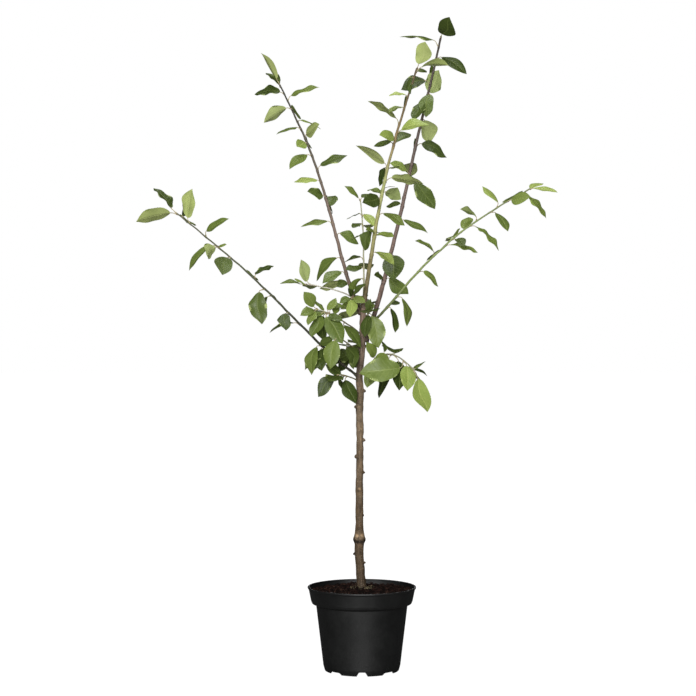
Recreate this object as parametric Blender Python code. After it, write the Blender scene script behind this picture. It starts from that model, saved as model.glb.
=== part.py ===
"""Young plum tree in a round nursery pot.

The pot stands on the ground plane with its middle at the origin, +Z is up and the front view looks
along +Y.  The tree is a leaning trunk with five main boughs, and every bough ends in a leafy shoot.
Lengths are metres unless a name ends in _MM, and angles are degrees.
"""
import math
import random

import bmesh
import bpy
import numpy as np
from mathutils import Vector
from mathutils.bvhtree import BVHTree

GAP = 0.0003
SEED = 41

# Pot: radius and height of each ring
FOOT_RADIUS = 0.0770
BODY_LOW_RADIUS = 0.0800
BODY_TOP_RADIUS = 0.0950
COLLAR_LOW_RADIUS = 0.1055
COLLAR_TOP_RADIUS = 0.1105
RIM_RADIUS = 0.1125
FOOT_HEIGHT = 0.0110
BODY_HEIGHT = 0.1355
COLLAR_LOW_HEIGHT = 0.1440
LIP_HEIGHT = 0.1680
POT_HEIGHT = 0.1725
STEP_HEIGHT = 0.0030
RIM_ROUNDING = 0.0010
POT_WALL = 0.0022
FOOT_WALL = 0.0030
FLOOR_UNDERSIDE = 0.0112
POT_FLOOR = 0.0135
MIDDLE_FOOT_RADIUS = 0.0120
POT_SEGMENTS = 40

# Drain notches round the foot, the first one facing the front: widths at the bottom and the top, and
# height, of the straight ones and of the ones between them
NOTCH_COUNT = 8
NOTCH_SIZES = ((0.0230, 0.0130, 0.0088), (0.0330, 0.0240, 0.0048))
NOTCH_INNER_RADIUS = 0.0700
NOTCH_OUTER_RADIUS = 0.0900
NOTCH_BELOW = -0.0040

# Compost: a low dish with a small mound under the trunk
COMPOST_SIDE_GAP = 0.0006
COMPOST_EDGE_HEIGHT = 0.1630
COMPOST_MID_RADIUS = 0.0500
COMPOST_MID_HEIGHT = 0.1660
MOUND_RADIUS = 0.0150
MOUND_HEIGHT = 0.1700

# Trunk: height above the mound, sideways lean, forward lean and diameter, all in millimetres
TRUNK_STATIONS_MM = (
    (0, -1, 0, 20.8), (6, -1, 0, 20.0), (34, -3, 0, 18.4), (74, -6, 1, 18.2), (91, -5, 1, 20.4),
    (99, -5, 1, 27.0), (108, -5, 1, 21.4), (121, -5, 1, 16.6), (211, -5, 0, 15.8), (270, -4, -1, 14.4),
    (309, -4, -1, 14.4), (320, -4, 0, 15.6), (373, -5, 0, 15.2), (405, -3, 1, 16.0), (436, -6, 1, 14.4),
    (468, -2, 0, 13.6), (501, 1, 0, 13.0), (564, 2, 0, 12.8), (592, 5, 0, 11.4),
)
TRUNK_SIDES = 14
KNOB_SUNK = 0.06
KNOB_TALL = 1.3

# Old bud scars on the trunk: height above the mound, bearing round the trunk, size, in millimetres
TRUNK_KNOBS_MM = (
    (70, 190, 8.0), (52, 345, 8.0), (156, 100, 7.0), (150, 350, 6.0), (239, 5, 8.0), (272, 185, 9.5),
    (306, 350, 9.0), (336, 80, 7.0), (375, 195, 9.0), (408, 350, 9.0),
)

# Main boughs: where each starts on the trunk, its compass heading from root to tip, how steeply it
# rises at equal steps from root to tip, its whole length with the leafy shoot, the share of that
# length which is the bare bough, and its diameters in millimetres at the root and the tip
BOUGHS = {
    "bough_leader": dict(start=(0.0050, 0.000, 0.763), azimuth=(302, 302), length=0.500, bare=0.180,
                         rise=(74, 74, 68, 60, 57), diameter_mm=(9.2, 3.2)),
    "bough_left_low": dict(start=(-0.008, 0.000, 0.608), azimuth=(207, 207), length=0.517, bare=0.150,
                           rise=(34, 42, 42, 37, 35), diameter_mm=(5.8, 2.5)),
    "bough_left_upper": dict(start=(-0.002, 0.003, 0.738), azimuth=(128, 128), length=0.594, bare=0.110,
                             rise=(56, 68, 65, 55, 52), diameter_mm=(8.4, 3.2)),
    "bough_right_upper": dict(start=(0.008, 0.005, 0.680), azimuth=(46, 46), length=0.712, bare=0.185,
                              rise=(64, 70, 72, 71, 72), diameter_mm=(10.4, 4.2)),
    "bough_right_low": dict(start=(0.003, 0.000, 0.699), azimuth=(338, 338), length=0.461, bare=0.138,
                            rise=(43, 48, 41, 31, 26), diameter_mm=(5.8, 2.5)),
}
PATH_STEPS = 60
AIM_STEP = 0.02
RING_GUIDE = (0.13, 1.0, 0.07)
BOUGH_SIDES = 8
BOUGH_STATIONS = 7
SHOOT_SIDES = 5
SHOOT_STATIONS = 15
SPUR_STATIONS = 9
ROOT_MARGIN = 0.01
TIP_MARGIN = 0.005

# Short leafy spurs that spring straight from the trunk, in the same terms
SPURS = {
    "foliage_left_spur": dict(start=(-0.002, -0.002, 0.760), azimuth=(205, 195), length=0.128,
                              rise=(35, 14, 6), diameter_mm=(3.2, 2.2)),
    "foliage_inner_twig": dict(start=(0.003, 0.006, 0.750), azimuth=(70, 130), length=0.228,
                               rise=(84, 86, 84, 78), diameter_mm=(3.8, 2.4)),
    "foliage_left_cluster": dict(start=(-0.001, -0.002, 0.695), azimuth=(214, 214), length=0.120,
                                 rise=(34, 26, 14), diameter_mm=(3.4, 2.0)),
    "foliage_low_cluster": dict(start=(-0.002, -0.002, 0.656), azimuth=(235, 235), length=0.088,
                                rise=(26, 22, 18), diameter_mm=(3.4, 2.2)),
    "foliage_low_spur": dict(start=(-0.004, -0.001, 0.596), azimuth=(226, 220), length=0.064,
                             rise=(26, 14, 6), diameter_mm=(3.2, 2.2)),
    "foliage_right_spur": dict(start=(0.000, -0.002, 0.616), azimuth=(320, 320), length=0.158,
                               rise=(38, 38, 2, -30, -45), diameter_mm=(3.8, 2.2)),
    "foliage_front_cluster": dict(start=(0.001, -0.002, 0.713), azimuth=(288, 292), length=0.044,
                                  rise=(44, 30), diameter_mm=(3.4, 2.4)),
    "foliage_fork_cluster": dict(start=(0.001, -0.002, 0.750), azimuth=(226, 222), length=0.034,
                                 rise=(40, 30), diameter_mm=(3.2, 2.2)),
    "foliage_back_low": dict(start=(-0.003, 0.002, 0.640), azimuth=(84, 96), length=0.096,
                             rise=(38, 22, 8), diameter_mm=(3.6, 2.2)),
    "foliage_back_high": dict(start=(0.001, 0.002, 0.722), azimuth=(96, 84), length=0.082,
                              rise=(46, 36, 24), diameter_mm=(3.4, 2.2)),
}

# Leaf proportions
STALK_SHARE = 0.20
STALK_RADIUS = 0.00085
STALK_LIFT = 0.9
LEAF_THICKNESS_SHARE = 0.020
LEAF_THICKNESS_LEAST = 0.0008
LEAF_STEPS = (0.0, 0.2, 0.5, 0.8)
BLADE_FRONT = 0.93
BLADE_BLUNT = 0.62
BLADE_POINT = 0.30
CLEARANCE = 0.0005

# Leaves that the front view shows.  Each row is one leaf: its root as a share of the shoot, the
# bearing from root to tip in the front view (0 right, 90 up), the span from root to tip in
# millimetres, how far it leans towards the front, and which way its upper side looks (0 to the
# front, 90 to the sky, 180 to the back)
LEAVES = {
    "foliage_left_low": (
        (0.17, 220, 64, 20, 50), (0.18, 240, 60, 32, 35), (0.19, 265, 58, 36, 40),
        (0.205, 252, 70, 25, 40), (0.33, 196, 68, 18, 70), (0.395, 262, 56, 50, 5),
        (0.495, 248, 55, -30, 60), (0.535, 266, 74, 14, 16), (0.59, 38, 54, -30, 66),
        (0.72, 250, 68, 55, 0), (0.78, 222, 56, 60, 155), (0.785, 16, 20, 30, 60),
        (0.795, 221, 76, -10, 66), (0.85, 36, 62, 18, 56), (0.93, 88, 74, -14, 120),
        (0.96, 96, 46, -38, 76), (0.99, 191, 84, 12, 114), (1.0, 133, 74, -15, 76),
    ),
    "foliage_left_upper": (
        (0.12, 188, 68, 20, 115), (0.125, 196, 36, 40, 20), (0.165, 203, 60, 25, 40),
        (0.225, 221, 74, -14, 62), (0.315, 341, 54, -20, 45), (0.36, 185, 70, 8, 62),
        (0.42, 68, 48, -42, 15), (0.465, 163, 52, 38, 35), (0.53, 181, 62, 20, 62),
        (0.58, 28, 74, -8, 58), (0.645, 213, 62, 22, 45), (0.70, 205, 46, 58, 20),
        (0.725, 50, 58, -35, 125), (0.77, 196, 62, 28, 68), (0.805, 346, 58, -25, 70),
        (0.87, 207, 68, 5, 130), (0.91, 22, 77, 8, 65), (0.945, 177, 72, -20, 45),
        (0.98, 134, 58, -28, 60), (0.99, 111, 48, -34, 60), (1.0, 121, 80, 12, 115),
    ),
    "foliage_leader": (
        (0.20, 334, 62, 35, 62), (0.275, 357, 50, 38, 65), (0.285, 355, 36, -48, 85),
        (0.29, 167, 34, 55, 60), (0.30, 242, 48, -22, 30), (0.363, 340, 60, 12, 62),
        (0.43, 192, 52, 42, 15), (0.445, 148, 46, -45, 60), (0.455, 350, 52, -38, 140),
        (0.475, 9, 30, 32, 80), (0.504, 357, 82, 15, 116), (0.553, 21, 40, -45, 80),
        (0.561, 142, 82, -8, 113), (0.565, 244, 46, -36, 55), (0.665, 178, 48, -34, 45),
        (0.655, 40, 56, -30, 45), (0.69, 172, 46, 44, 25), (0.712, 14, 70, 15, 50),
        (0.75, 142, 80, 0, 94), (0.82, 200, 42, 36, 60), (0.87, 178, 42, 25, 62),
        (0.93, 262, 26, 30, 60), (0.975, 22, 36, -45, 40), (0.955, 232, 34, -38, 60),
        (0.985, 12, 68, -12, 97), (1.0, 73, 66, 44, 170),
    ),
    "foliage_right_upper": (
        (0.19, 151, 38, 50, 60), (0.20, 330, 62, -16, 14), (0.27, 277, 76, 48, 0),
        (0.385, 338, 68, 10, 60), (0.435, 176, 44, -40, 50), (0.535, 150, 52, 20, 50),
        (0.51, 316, 82, 8, 38), (0.57, 272, 62, -72, 180), (0.63, 342, 74, -15, 40),
        (0.715, 294, 66, -42, 165), (0.77, 236, 58, 32, 45), (0.80, 264, 62, 30, 14),
        (0.79, 67, 72, -16, 165), (0.92, 332, 76, 10, 58), (0.96, 167, 90, 8, 74),
        (0.985, 66, 76, 58, 0), (0.835, 192, 66, 10, 30),
    ),
    "foliage_right_low": (
        (0.16, 287, 60, 24, 70), (0.165, 20, 36, -40, 50), (0.225, 289, 68, 15, 66),
        (0.375, 325, 56, -22, 52), (0.475, 143, 56, 28, 70), (0.54, 350, 72, -10, 76),
        (0.585, 326, 44, 48, 35), (0.64, 63, 52, -44, 40), (0.685, 318, 80, 16, 75),
        (0.72, 138, 48, -32, 100), (0.795, 309, 62, 32, 58), (0.83, 120, 60, -26, 64),
        (0.885, 8, 58, 42, 34), (0.95, 316, 72, 10, 64), (0.98, 25, 52, -36, 66), (1.0, 352, 58, 15, 66),
    ),
    "foliage_inner_twig": (
        (0.26, 226, 44, 24, 60), (0.355, 184, 46, 34, 62), (0.44, 184, 48, -34, 74),
        (0.65, 188, 34, -48, 80), (0.76, 197, 36, 50, 60), (0.845, 318, 44, 40, 50),
        (0.855, 191, 42, -38, 75), (0.99, 138, 48, 18, 60), (1.0, 28, 42, -40, 50),
    ),
    "foliage_left_spur": (
        (0.90, 113, 60, -15, 142), (0.97, 159, 38, 42, 70), (1.0, 179, 54, 10, 68),
    ),
    "foliage_left_cluster": (
        (1.0, 128, 52, 30, 15), (1.0, 200, 46, 35, 20), (0.99, 238, 44, 30, 25),
        (0.80, 135, 42, -20, 60), (0.76, 66, 40, -25, 30), (0.74, 24, 42, -30, 55),
        (0.78, 190, 46, 24, 55), (0.75, 330, 40, 38, 30), (0.78, 296, 74, 20, 20),
        (0.85, 243, 60, 14, 30), (0.80, 264, 60, -15, 40), (0.40, 302, 66, 18, 60),
        (0.60, 92, 40, -30, 40),
    ),
    "foliage_low_cluster": (
        (0.30, 268, 50, 28, 25), (0.80, 334, 36, 44, 60), (0.92, 274, 70, 26, 10),
        (1.0, 256, 70, 18, 15), (0.60, 290, 56, -12, 40), (1.0, 200, 44, -20, 40),
    ),
    "foliage_low_spur": (
        (0.62, 288, 62, 18, 30), (0.97, 290, 34, -20, 70), (1.0, 228, 62, 8, 15),
        (0.70, 150, 50, 20, 40), (0.45, 118, 46, -15, 50),
    ),
    "foliage_right_spur": (
        (0.25, 111, 50, 32, 25), (0.42, 100, 36, -20, 60), (0.18, 262, 52, 20, 15),
        (0.32, 273, 84, -8, 50), (0.55, 203, 46, -25, 45), (0.62, 277, 74, 14, 30),
        (0.78, 196, 96, 12, 12), (0.80, 275, 64, 20, 15), (0.90, 300, 48, -18, 108),
        (0.93, 332, 44, -28, 80), (1.0, 288, 88, 6, 32),
    ),
    "foliage_front_cluster": (
        (0.85, 62, 34, -40, 40), (0.95, 80, 32, 20, 30), (1.0, 286, 76, 8, 4), (0.92, 262, 56, 28, 30),
    ),
    "foliage_fork_cluster": (
        (0.60, 204, 40, -20, 60), (0.95, 48, 44, 22, 60), (1.0, 201, 34, 30, 30),
        (0.97, 262, 48, 35, 15), (0.98, 340, 36, 40, 30), (0.99, 116, 30, 40, 30),
    ),
    "foliage_back_low": (
        (0.30, 200, 70, -10, 50), (0.45, 222, 72, -20, 40),
    ),
    "foliage_back_high": (),
}

# More leaves on the sides that the front view hides: how many, the compass heading they favour and
# how far they stray from it
HIDDEN_LEAVES = {
    "foliage_left_low": (3, 90, 6), "foliage_left_upper": (3, 90, 6), "foliage_leader": (2, 90, 6),
    "foliage_right_upper": (3, 90, 6), "foliage_right_low": (3, 90, 6),
    "foliage_inner_twig": (2, 90, 20), "foliage_left_spur": (2, 90, 20),
    "foliage_left_cluster": (2, 130, 50), "foliage_low_cluster": (2, 250, 50),
    "foliage_low_spur": (1, 250, 40), "foliage_right_spur": (2, 20, 60),
    "foliage_front_cluster": (1, 290, 40), "foliage_fork_cluster": (1, 100, 40),
    "foliage_back_low": (6, 90, 42), "foliage_back_high": (9, 90, 50),
}
HIDDEN_FIRST = 0.30
BEHIND_STRAY = 6
HIDDEN_SPAN_MM = (50, 76)
DROOP_SHARE = 0.30
LIFT_SHARE = 0.20
ROLL_SHARE = 0.35


def clear_scene():
    """Remove every object that a new Blender file starts with."""
    for item in list(bpy.data.objects):
        bpy.data.objects.remove(item, do_unlink=True)


def make_material(name, colour, roughness, metallic=0.0):
    """One plain Principled material."""
    material = bpy.data.materials.new(name)
    material.use_nodes = True
    shader = material.node_tree.nodes["Principled BSDF"]
    shader.inputs["Base Color"].default_value = (*colour, 1.0)
    shader.inputs["Roughness"].default_value = roughness
    shader.inputs["Metallic"].default_value = metallic
    return material


def add_object(name, mesh, material, collection=None):
    """Link a mesh to the scene under a plain name with its material."""
    mesh.materials.clear()
    mesh.materials.append(material)
    item = bpy.data.objects.new(name, mesh)
    (collection or bpy.context.scene.collection).objects.link(item)
    return item


def mesh_from(name, points, faces):
    """A mesh from plain points and faces."""
    mesh = bpy.data.meshes.new(name)
    mesh.from_pydata([tuple(map(float, p)) for p in points], [], faces)
    mesh.update()
    return mesh


def smooth(mesh, angle=40.0):
    """Round shading with crisp edges above the given angle."""
    mesh.shade_smooth()
    mesh.set_sharp_from_angle(angle=math.radians(angle))


def unit(vector):
    return vector / np.linalg.norm(vector)


def heading(azimuth, rise):
    """Direction with the given compass azimuth (0 is +X, 90 is +Y) and rise above level."""
    a, r = math.radians(azimuth), math.radians(rise)
    return np.array((math.cos(r) * math.cos(a), math.cos(r) * math.sin(a), math.sin(r)))


def limb_path(limb):
    """Centre line of a limb, whose heading turns evenly through its azimuths and rises."""
    azimuth, rise = limb["azimuth"], limb["rise"]
    share = (np.arange(PATH_STEPS) + 0.5) / PATH_STEPS
    turn = np.interp(share, np.linspace(0, 1, len(azimuth)), azimuth)
    climb = np.interp(share, np.linspace(0, 1, len(rise)), rise)
    steps = np.array([heading(a, r) for a, r in zip(turn, climb)]) * limb["length"] / PATH_STEPS
    return np.vstack((np.zeros(3), np.cumsum(steps, axis=0))) + np.array(limb["start"])


def along(path, share):
    """Point on a path at a share of its length; the path's points are evenly spaced."""
    place = np.linspace(0, 1, len(path))
    return np.array([np.interp(share, place, path[:, axis]) for axis in range(3)]).T


def direction(path, share):
    """Unit direction of a path at a share of its length."""
    low, high = max(0.0, share - AIM_STEP), min(1.0, share + AIM_STEP)
    return unit(along(path, high) - along(path, low))


def tube(points, radii, sides):
    """Closed tapering tube: one ring of points for each centre, capped flat at both ends."""
    points = np.asarray(points, dtype=float)
    tangents = np.gradient(points, axis=0)
    guide = np.array(RING_GUIDE)
    corners, faces = [], []
    for centre, tangent, radius in zip(points, tangents, radii):
        tangent = unit(tangent)
        side = unit(np.cross(tangent, guide))
        other = np.cross(tangent, side)
        for k in range(sides):
            angle = 2 * math.pi * k / sides
            corners.append(centre + radius * (math.cos(angle) * side + math.sin(angle) * other))
    rings = len(points)
    for ring in range(rings - 1):
        for k in range(sides):
            a = ring * sides + k
            b = ring * sides + (k + 1) % sides
            faces.append((a, b, b + sides, a + sides))
    faces.append(tuple(reversed(range(sides))))
    faces.append(tuple(range((rings - 1) * sides, rings * sides)))
    return corners, faces


def turned(name, profile, segments):
    """Body of revolution about Z from (radius, height) points that start and end on the axis."""
    shape = bmesh.new()
    verts = [shape.verts.new((radius, 0.0, height)) for radius, height in profile]
    edges = [shape.edges.new(pair) for pair in zip(verts, verts[1:])]
    bmesh.ops.spin(shape, geom=verts + edges, cent=(0, 0, 0), axis=(0, 0, 1),
                   angle=2 * math.pi, steps=segments, use_merge=True)
    bmesh.ops.remove_doubles(shape, verts=shape.verts, dist=1e-6)
    bmesh.ops.recalc_face_normals(shape, faces=shape.faces)
    mesh = bpy.data.meshes.new(name)
    shape.to_mesh(mesh)
    shape.free()
    smooth(mesh)
    return mesh


def apply_modifiers(item):
    """Replace an object's mesh by its evaluated mesh and drop the modifiers."""
    graph = bpy.context.evaluated_depsgraph_get()
    mesh = bpy.data.meshes.new_from_object(item.evaluated_get(graph))
    item.modifiers.clear()
    item.data = mesh


def join_all(item, pieces):
    """Fuse loose solids to an object with one Boolean union on their collection."""
    collection = bpy.data.collections.new(item.name + "_pieces")
    bpy.context.scene.collection.children.link(collection)
    for number, (points, faces) in enumerate(pieces):
        mesh = mesh_from(f"{item.name}_piece_{number}", points, faces)
        add_object(mesh.name, mesh, item.data.materials[0], collection)
    union = item.modifiers.new("join", "BOOLEAN")
    union.operation = "UNION"
    union.operand_type = "COLLECTION"
    union.collection = collection
    apply_modifiers(item)
    for piece in list(collection.objects):
        bpy.data.objects.remove(piece, do_unlink=True)
    bpy.data.collections.remove(collection)


def keep_main_shell(item):
    """Drop loose scraps and fill sealed hollows: only the largest shell of joined faces stays."""
    shape = bmesh.new()
    shape.from_mesh(item.data)
    bmesh.ops.triangulate(shape, faces=shape.faces)
    shells, seen = [], set()
    for face in shape.faces:
        if face in seen:
            continue
        shell, front = set(), [face]
        while front:
            here = front.pop()
            if here not in shell:
                shell.add(here)
                front.extend(other for edge in here.edges if edge.is_manifold
                             for other in edge.link_faces)
        seen |= shell
        shells.append(shell)
    shells.sort(key=len, reverse=True)
    extra = [face for shell in shells[1:] for face in shell]
    bmesh.ops.delete(shape, geom=extra, context="FACES")
    shape.to_mesh(item.data)
    shape.free()


def cut_clear(item, cutter_mesh):
    """Cut an object back from a neighbour's outline, given as a closed mesh grown by the gap."""
    cutter = bpy.data.objects.new("cutter", cutter_mesh)
    bpy.context.scene.collection.objects.link(cutter)
    cutter.hide_render = True
    cutter.display_type = "WIRE"
    cut = item.modifiers.new("clear", "BOOLEAN")
    cut.operation = "DIFFERENCE"
    cut.object = cutter
    apply_modifiers(item)
    bpy.data.objects.remove(cutter, do_unlink=True)


def pot_profile():
    """Outer skin from the middle of the underside to the rim, then back down the inner skin.

    The floor is raised: the pot stands on a foot ring and on a small flat foot in the middle.
    """
    skin = COLLAR_TOP_RADIUS - POT_WALL
    under = [
        (MIDDLE_FOOT_RADIUS, 0.0), (MIDDLE_FOOT_RADIUS, FLOOR_UNDERSIDE),
        (BODY_LOW_RADIUS - FOOT_WALL, FLOOR_UNDERSIDE), (FOOT_RADIUS - FOOT_WALL, 0.0),
    ]
    outer = [
        (FOOT_RADIUS, 0.0), (BODY_LOW_RADIUS, FOOT_HEIGHT), (BODY_TOP_RADIUS, BODY_HEIGHT),
        (COLLAR_LOW_RADIUS - POT_WALL, BODY_HEIGHT + STEP_HEIGHT), (COLLAR_LOW_RADIUS, COLLAR_LOW_HEIGHT),
        (COLLAR_TOP_RADIUS, LIP_HEIGHT), (RIM_RADIUS, LIP_HEIGHT + RIM_ROUNDING),
        (RIM_RADIUS, POT_HEIGHT - RIM_ROUNDING), (RIM_RADIUS - RIM_ROUNDING, POT_HEIGHT),
    ]
    return [(0.0, 0.0)] + under + outer + [(skin, POT_HEIGHT)] + inner_wall() + [(0.0, POT_FLOOR)]


def inner_wall():
    """Inner skin of the pot from below the rim down to the edge of the floor."""
    rings = ((COLLAR_TOP_RADIUS, LIP_HEIGHT), (COLLAR_LOW_RADIUS, COLLAR_LOW_HEIGHT),
             (BODY_TOP_RADIUS, BODY_HEIGHT + STEP_HEIGHT), (BODY_LOW_RADIUS, POT_FLOOR))
    return [(radius - POT_WALL, height) for radius, height in rings]


def notch_cutter():
    """Eight wedges that open the foot of the pot, tall and shallow ones in turn."""
    corners, faces = [], []
    quads = ((0, 2, 3, 1), (4, 5, 7, 6), (0, 1, 5, 4), (2, 6, 7, 3), (0, 4, 6, 2), (1, 3, 7, 5))
    for k in range(NOTCH_COUNT):
        angle = math.radians(270 + 360 * k / NOTCH_COUNT)
        out = np.array((math.cos(angle), math.sin(angle), 0.0))
        side = np.array((-math.sin(angle), math.cos(angle), 0.0))
        low, top, tall = NOTCH_SIZES[k % 2]
        first = len(corners)
        for radius in (NOTCH_INNER_RADIUS, NOTCH_OUTER_RADIUS):
            for height, width in ((NOTCH_BELOW, low), (tall, top)):
                for half in (-0.5 * width, 0.5 * width):
                    corners.append(out * radius + side * half + np.array((0, 0, height)))
        faces += [tuple(first + corner for corner in quad) for quad in quads]
    return mesh_from("notches", corners, faces)


def build_pot(material):
    pot = add_object("pot", turned("pot", pot_profile(), POT_SEGMENTS), material)
    cut_clear(pot, notch_cutter())
    smooth(pot.data)
    return pot


def build_compost(material):
    """Filling that keeps a hair's breadth from the pot's inner skin, with a low mound in the middle."""
    side = [(radius - COMPOST_SIDE_GAP, height) for radius, height in reversed(inner_wall())]
    (low_radius, low_height), (top_radius, top_height) = side[-2:]
    share = (COMPOST_EDGE_HEIGHT - low_height) / (top_height - low_height)
    edge = low_radius + share * (top_radius - low_radius)
    foot = (side[0][0], POT_FLOOR + GAP)
    profile = [(0.0, foot[1]), foot] + side[1:-1]
    profile += [(edge, COMPOST_EDGE_HEIGHT), (COMPOST_MID_RADIUS, COMPOST_MID_HEIGHT),
                (MOUND_RADIUS, MOUND_HEIGHT), (0.0, MOUND_HEIGHT)]
    return add_object("compost", turned("compost", profile, POT_SEGMENTS), material)


def trunk_line():
    """Centres and radii of the trunk from its foot on the mound to the fork."""
    rows = np.array(TRUNK_STATIONS_MM) / 1000
    centres = np.column_stack((rows[:, 1], rows[:, 2], rows[:, 0] + MOUND_HEIGHT + GAP))
    return centres, rows[:, 3] / 2


def trunk_mesh(grow=0.0):
    centres, radii = trunk_line()
    centres = centres.copy()
    centres[-1] += (0.0, 0.0, grow)
    return tube(centres, radii + grow, TRUNK_SIDES)


def trunk_knobs():
    """Small rounded lumps where old buds were rubbed off."""
    centres, radii = trunk_line()
    height = centres[:, 2] - centres[0, 2]
    knobs = []
    for place, bearing, size in np.array(TRUNK_KNOBS_MM) / (1000, 1, 1000):
        centre = np.array([np.interp(place, height, centres[:, axis]) for axis in range(3)])
        radius = np.interp(place, height, radii)
        out = heading(bearing, 0)
        shape = bmesh.new()
        bmesh.ops.create_icosphere(shape, subdivisions=1, radius=size / 2)
        middle = centre + out * (radius - size * KNOB_SUNK)
        points = [np.array(vert.co) * (1.0, 1.0, KNOB_TALL) + middle for vert in shape.verts]
        knobs.append((points, [tuple(v.index for v in face.verts) for face in shape.faces]))
        shape.free()
    return knobs


def build_trunk(material):
    mesh = mesh_from("trunk", *trunk_mesh())
    trunk = add_object("trunk", mesh, material)
    join_all(trunk, trunk_knobs())
    smooth(trunk.data, 50)
    return trunk


def shoot_radius(limb, share):
    """Radius of a limb at a share of its whole length; the taper is straight."""
    root, tip = limb["diameter_mm"]
    return (root + (tip - root) * np.asarray(share)) / 2000


def limb_solid(limb, first, last, stations, sides, grow=0.0):
    """Closed tube for the stretch of a limb between two shares of its length."""
    shares = np.linspace(first, last, stations)
    return tube(along(limb_path(limb), shares), shoot_radius(limb, shares) + grow, sides)


def bare_bough(name, grow=0.0):
    """Closed tube for the bare stretch of a main bough."""
    limb = BOUGHS[name]
    return limb_solid(limb, 0.0, limb["bare"], BOUGH_STATIONS, BOUGH_SIDES, grow)


def build_boughs(material):
    """Bare lower boughs, each cut clear of the trunk and of the boughs made before it."""
    made = []
    for name in BOUGHS:
        bough = add_object(name, mesh_from(name, *bare_bough(name)), material)
        cut_clear(bough, mesh_from("cutter", *trunk_mesh(GAP)))
        for other in made:
            cut_clear(bough, mesh_from("cutter", *bare_bough(other, GAP)))
        smooth(bough.data, 50)
        made.append(name)


def front_heading(bearing, toward):
    """Direction read in the front view: bearing in the X-Z plane, leaning towards the front."""
    b, t = math.radians(bearing), math.radians(toward)
    return np.array((math.cos(b) * math.cos(t), -math.sin(t), math.sin(b) * math.cos(t)))


def upright(vector, axis):
    """The part of a vector that is square to an axis, at unit length."""
    return unit(vector - axis * np.dot(vector, axis))


def upper_side(chord, bearing, face):
    """Normal of the leaf's upper side: face 0 looks to the front, 90 to the sky, 180 to the back."""
    front = upright(np.array((0.0, -1.0, 0.0)), chord)
    across = np.cross(front, chord)
    turn = math.radians(face) * (1 if math.cos(math.radians(bearing)) >= 0 else -1)
    return math.cos(turn) * front + math.sin(turn) * across


def leaf_habit(rng):
    """Seeded proportions of one leaf: width share, fold, twist, arch and stalk length factor."""
    return dict(wide=rng.uniform(0.52, 0.66), fold=rng.uniform(6, 20), twist=rng.uniform(-16, 16),
                arch=rng.uniform(14, 40), stalk=rng.uniform(0.85, 1.15))


def hidden_guide(path, share, aim, stray):
    """Way that a hidden leaf's upper side looks: the sky, or sideways where it keeps behind its limb."""
    if stray > BEHIND_STRAY:
        return np.array((0.0, 0.0, 1.0))
    across = np.cross(direction(path, share), aim)
    return across * math.copysign(1.0, across[2])


def leaf_rows(name, path, rng):
    """Every leaf of one mass as (share, heading, span, upper side, habit), shown ones first."""
    leaves = []
    for share, bearing, span, toward, face in LEAVES[name]:
        aim = front_heading(bearing, toward)
        leaves.append((share, aim, span / 1000, upper_side(aim, bearing, face), leaf_habit(rng)))
    count, favoured, stray = HIDDEN_LEAVES[name]
    for k in range(count):
        share = HIDDEN_FIRST + (1 - HIDDEN_FIRST) * (k + rng.uniform(0.2, 0.8)) / count
        azimuth = favoured + rng.uniform(-stray, stray)
        aim = heading(azimuth, rng.uniform(-stray * DROOP_SHARE, stray * LIFT_SHARE))
        upper = upright(hidden_guide(path, share, aim, stray), aim)
        roll = math.radians(rng.uniform(-stray, stray) * ROLL_SHARE)
        upper = math.cos(roll) * upper + math.sin(roll) * np.cross(aim, upper)
        span = rng.uniform(*HIDDEN_SPAN_MM) / 1000
        leaves.append((share, aim, span, upper, leaf_habit(rng)))
    return leaves


def blade_width(step):
    """Half width of the blade at a step from base to tip, as a share of the widest."""
    return np.sin(math.pi * step ** BLADE_FRONT) ** (BLADE_BLUNT + BLADE_POINT * step)


def blade_line(chord, normal, length, arch, steps):
    """Points and tangents of an arched midrib, whose chord keeps its heading.

    The midrib is an arc that turns through the arch angle away from the upper side.
    """
    bend = math.radians(arch)
    steps = np.asarray(steps, dtype=float)[:, None]
    angle = bend * (steps - 0.5)
    run = (np.sin(angle) + math.sin(bend / 2)) / bend
    lift = (np.cos(angle) - math.cos(bend / 2)) / bend
    points = length * (run * chord + lift * normal)
    tangents = np.cos(angle) * chord - np.sin(angle) * normal
    uppers = np.cos(angle) * normal + np.sin(angle) * chord
    return points, tangents, uppers


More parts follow.
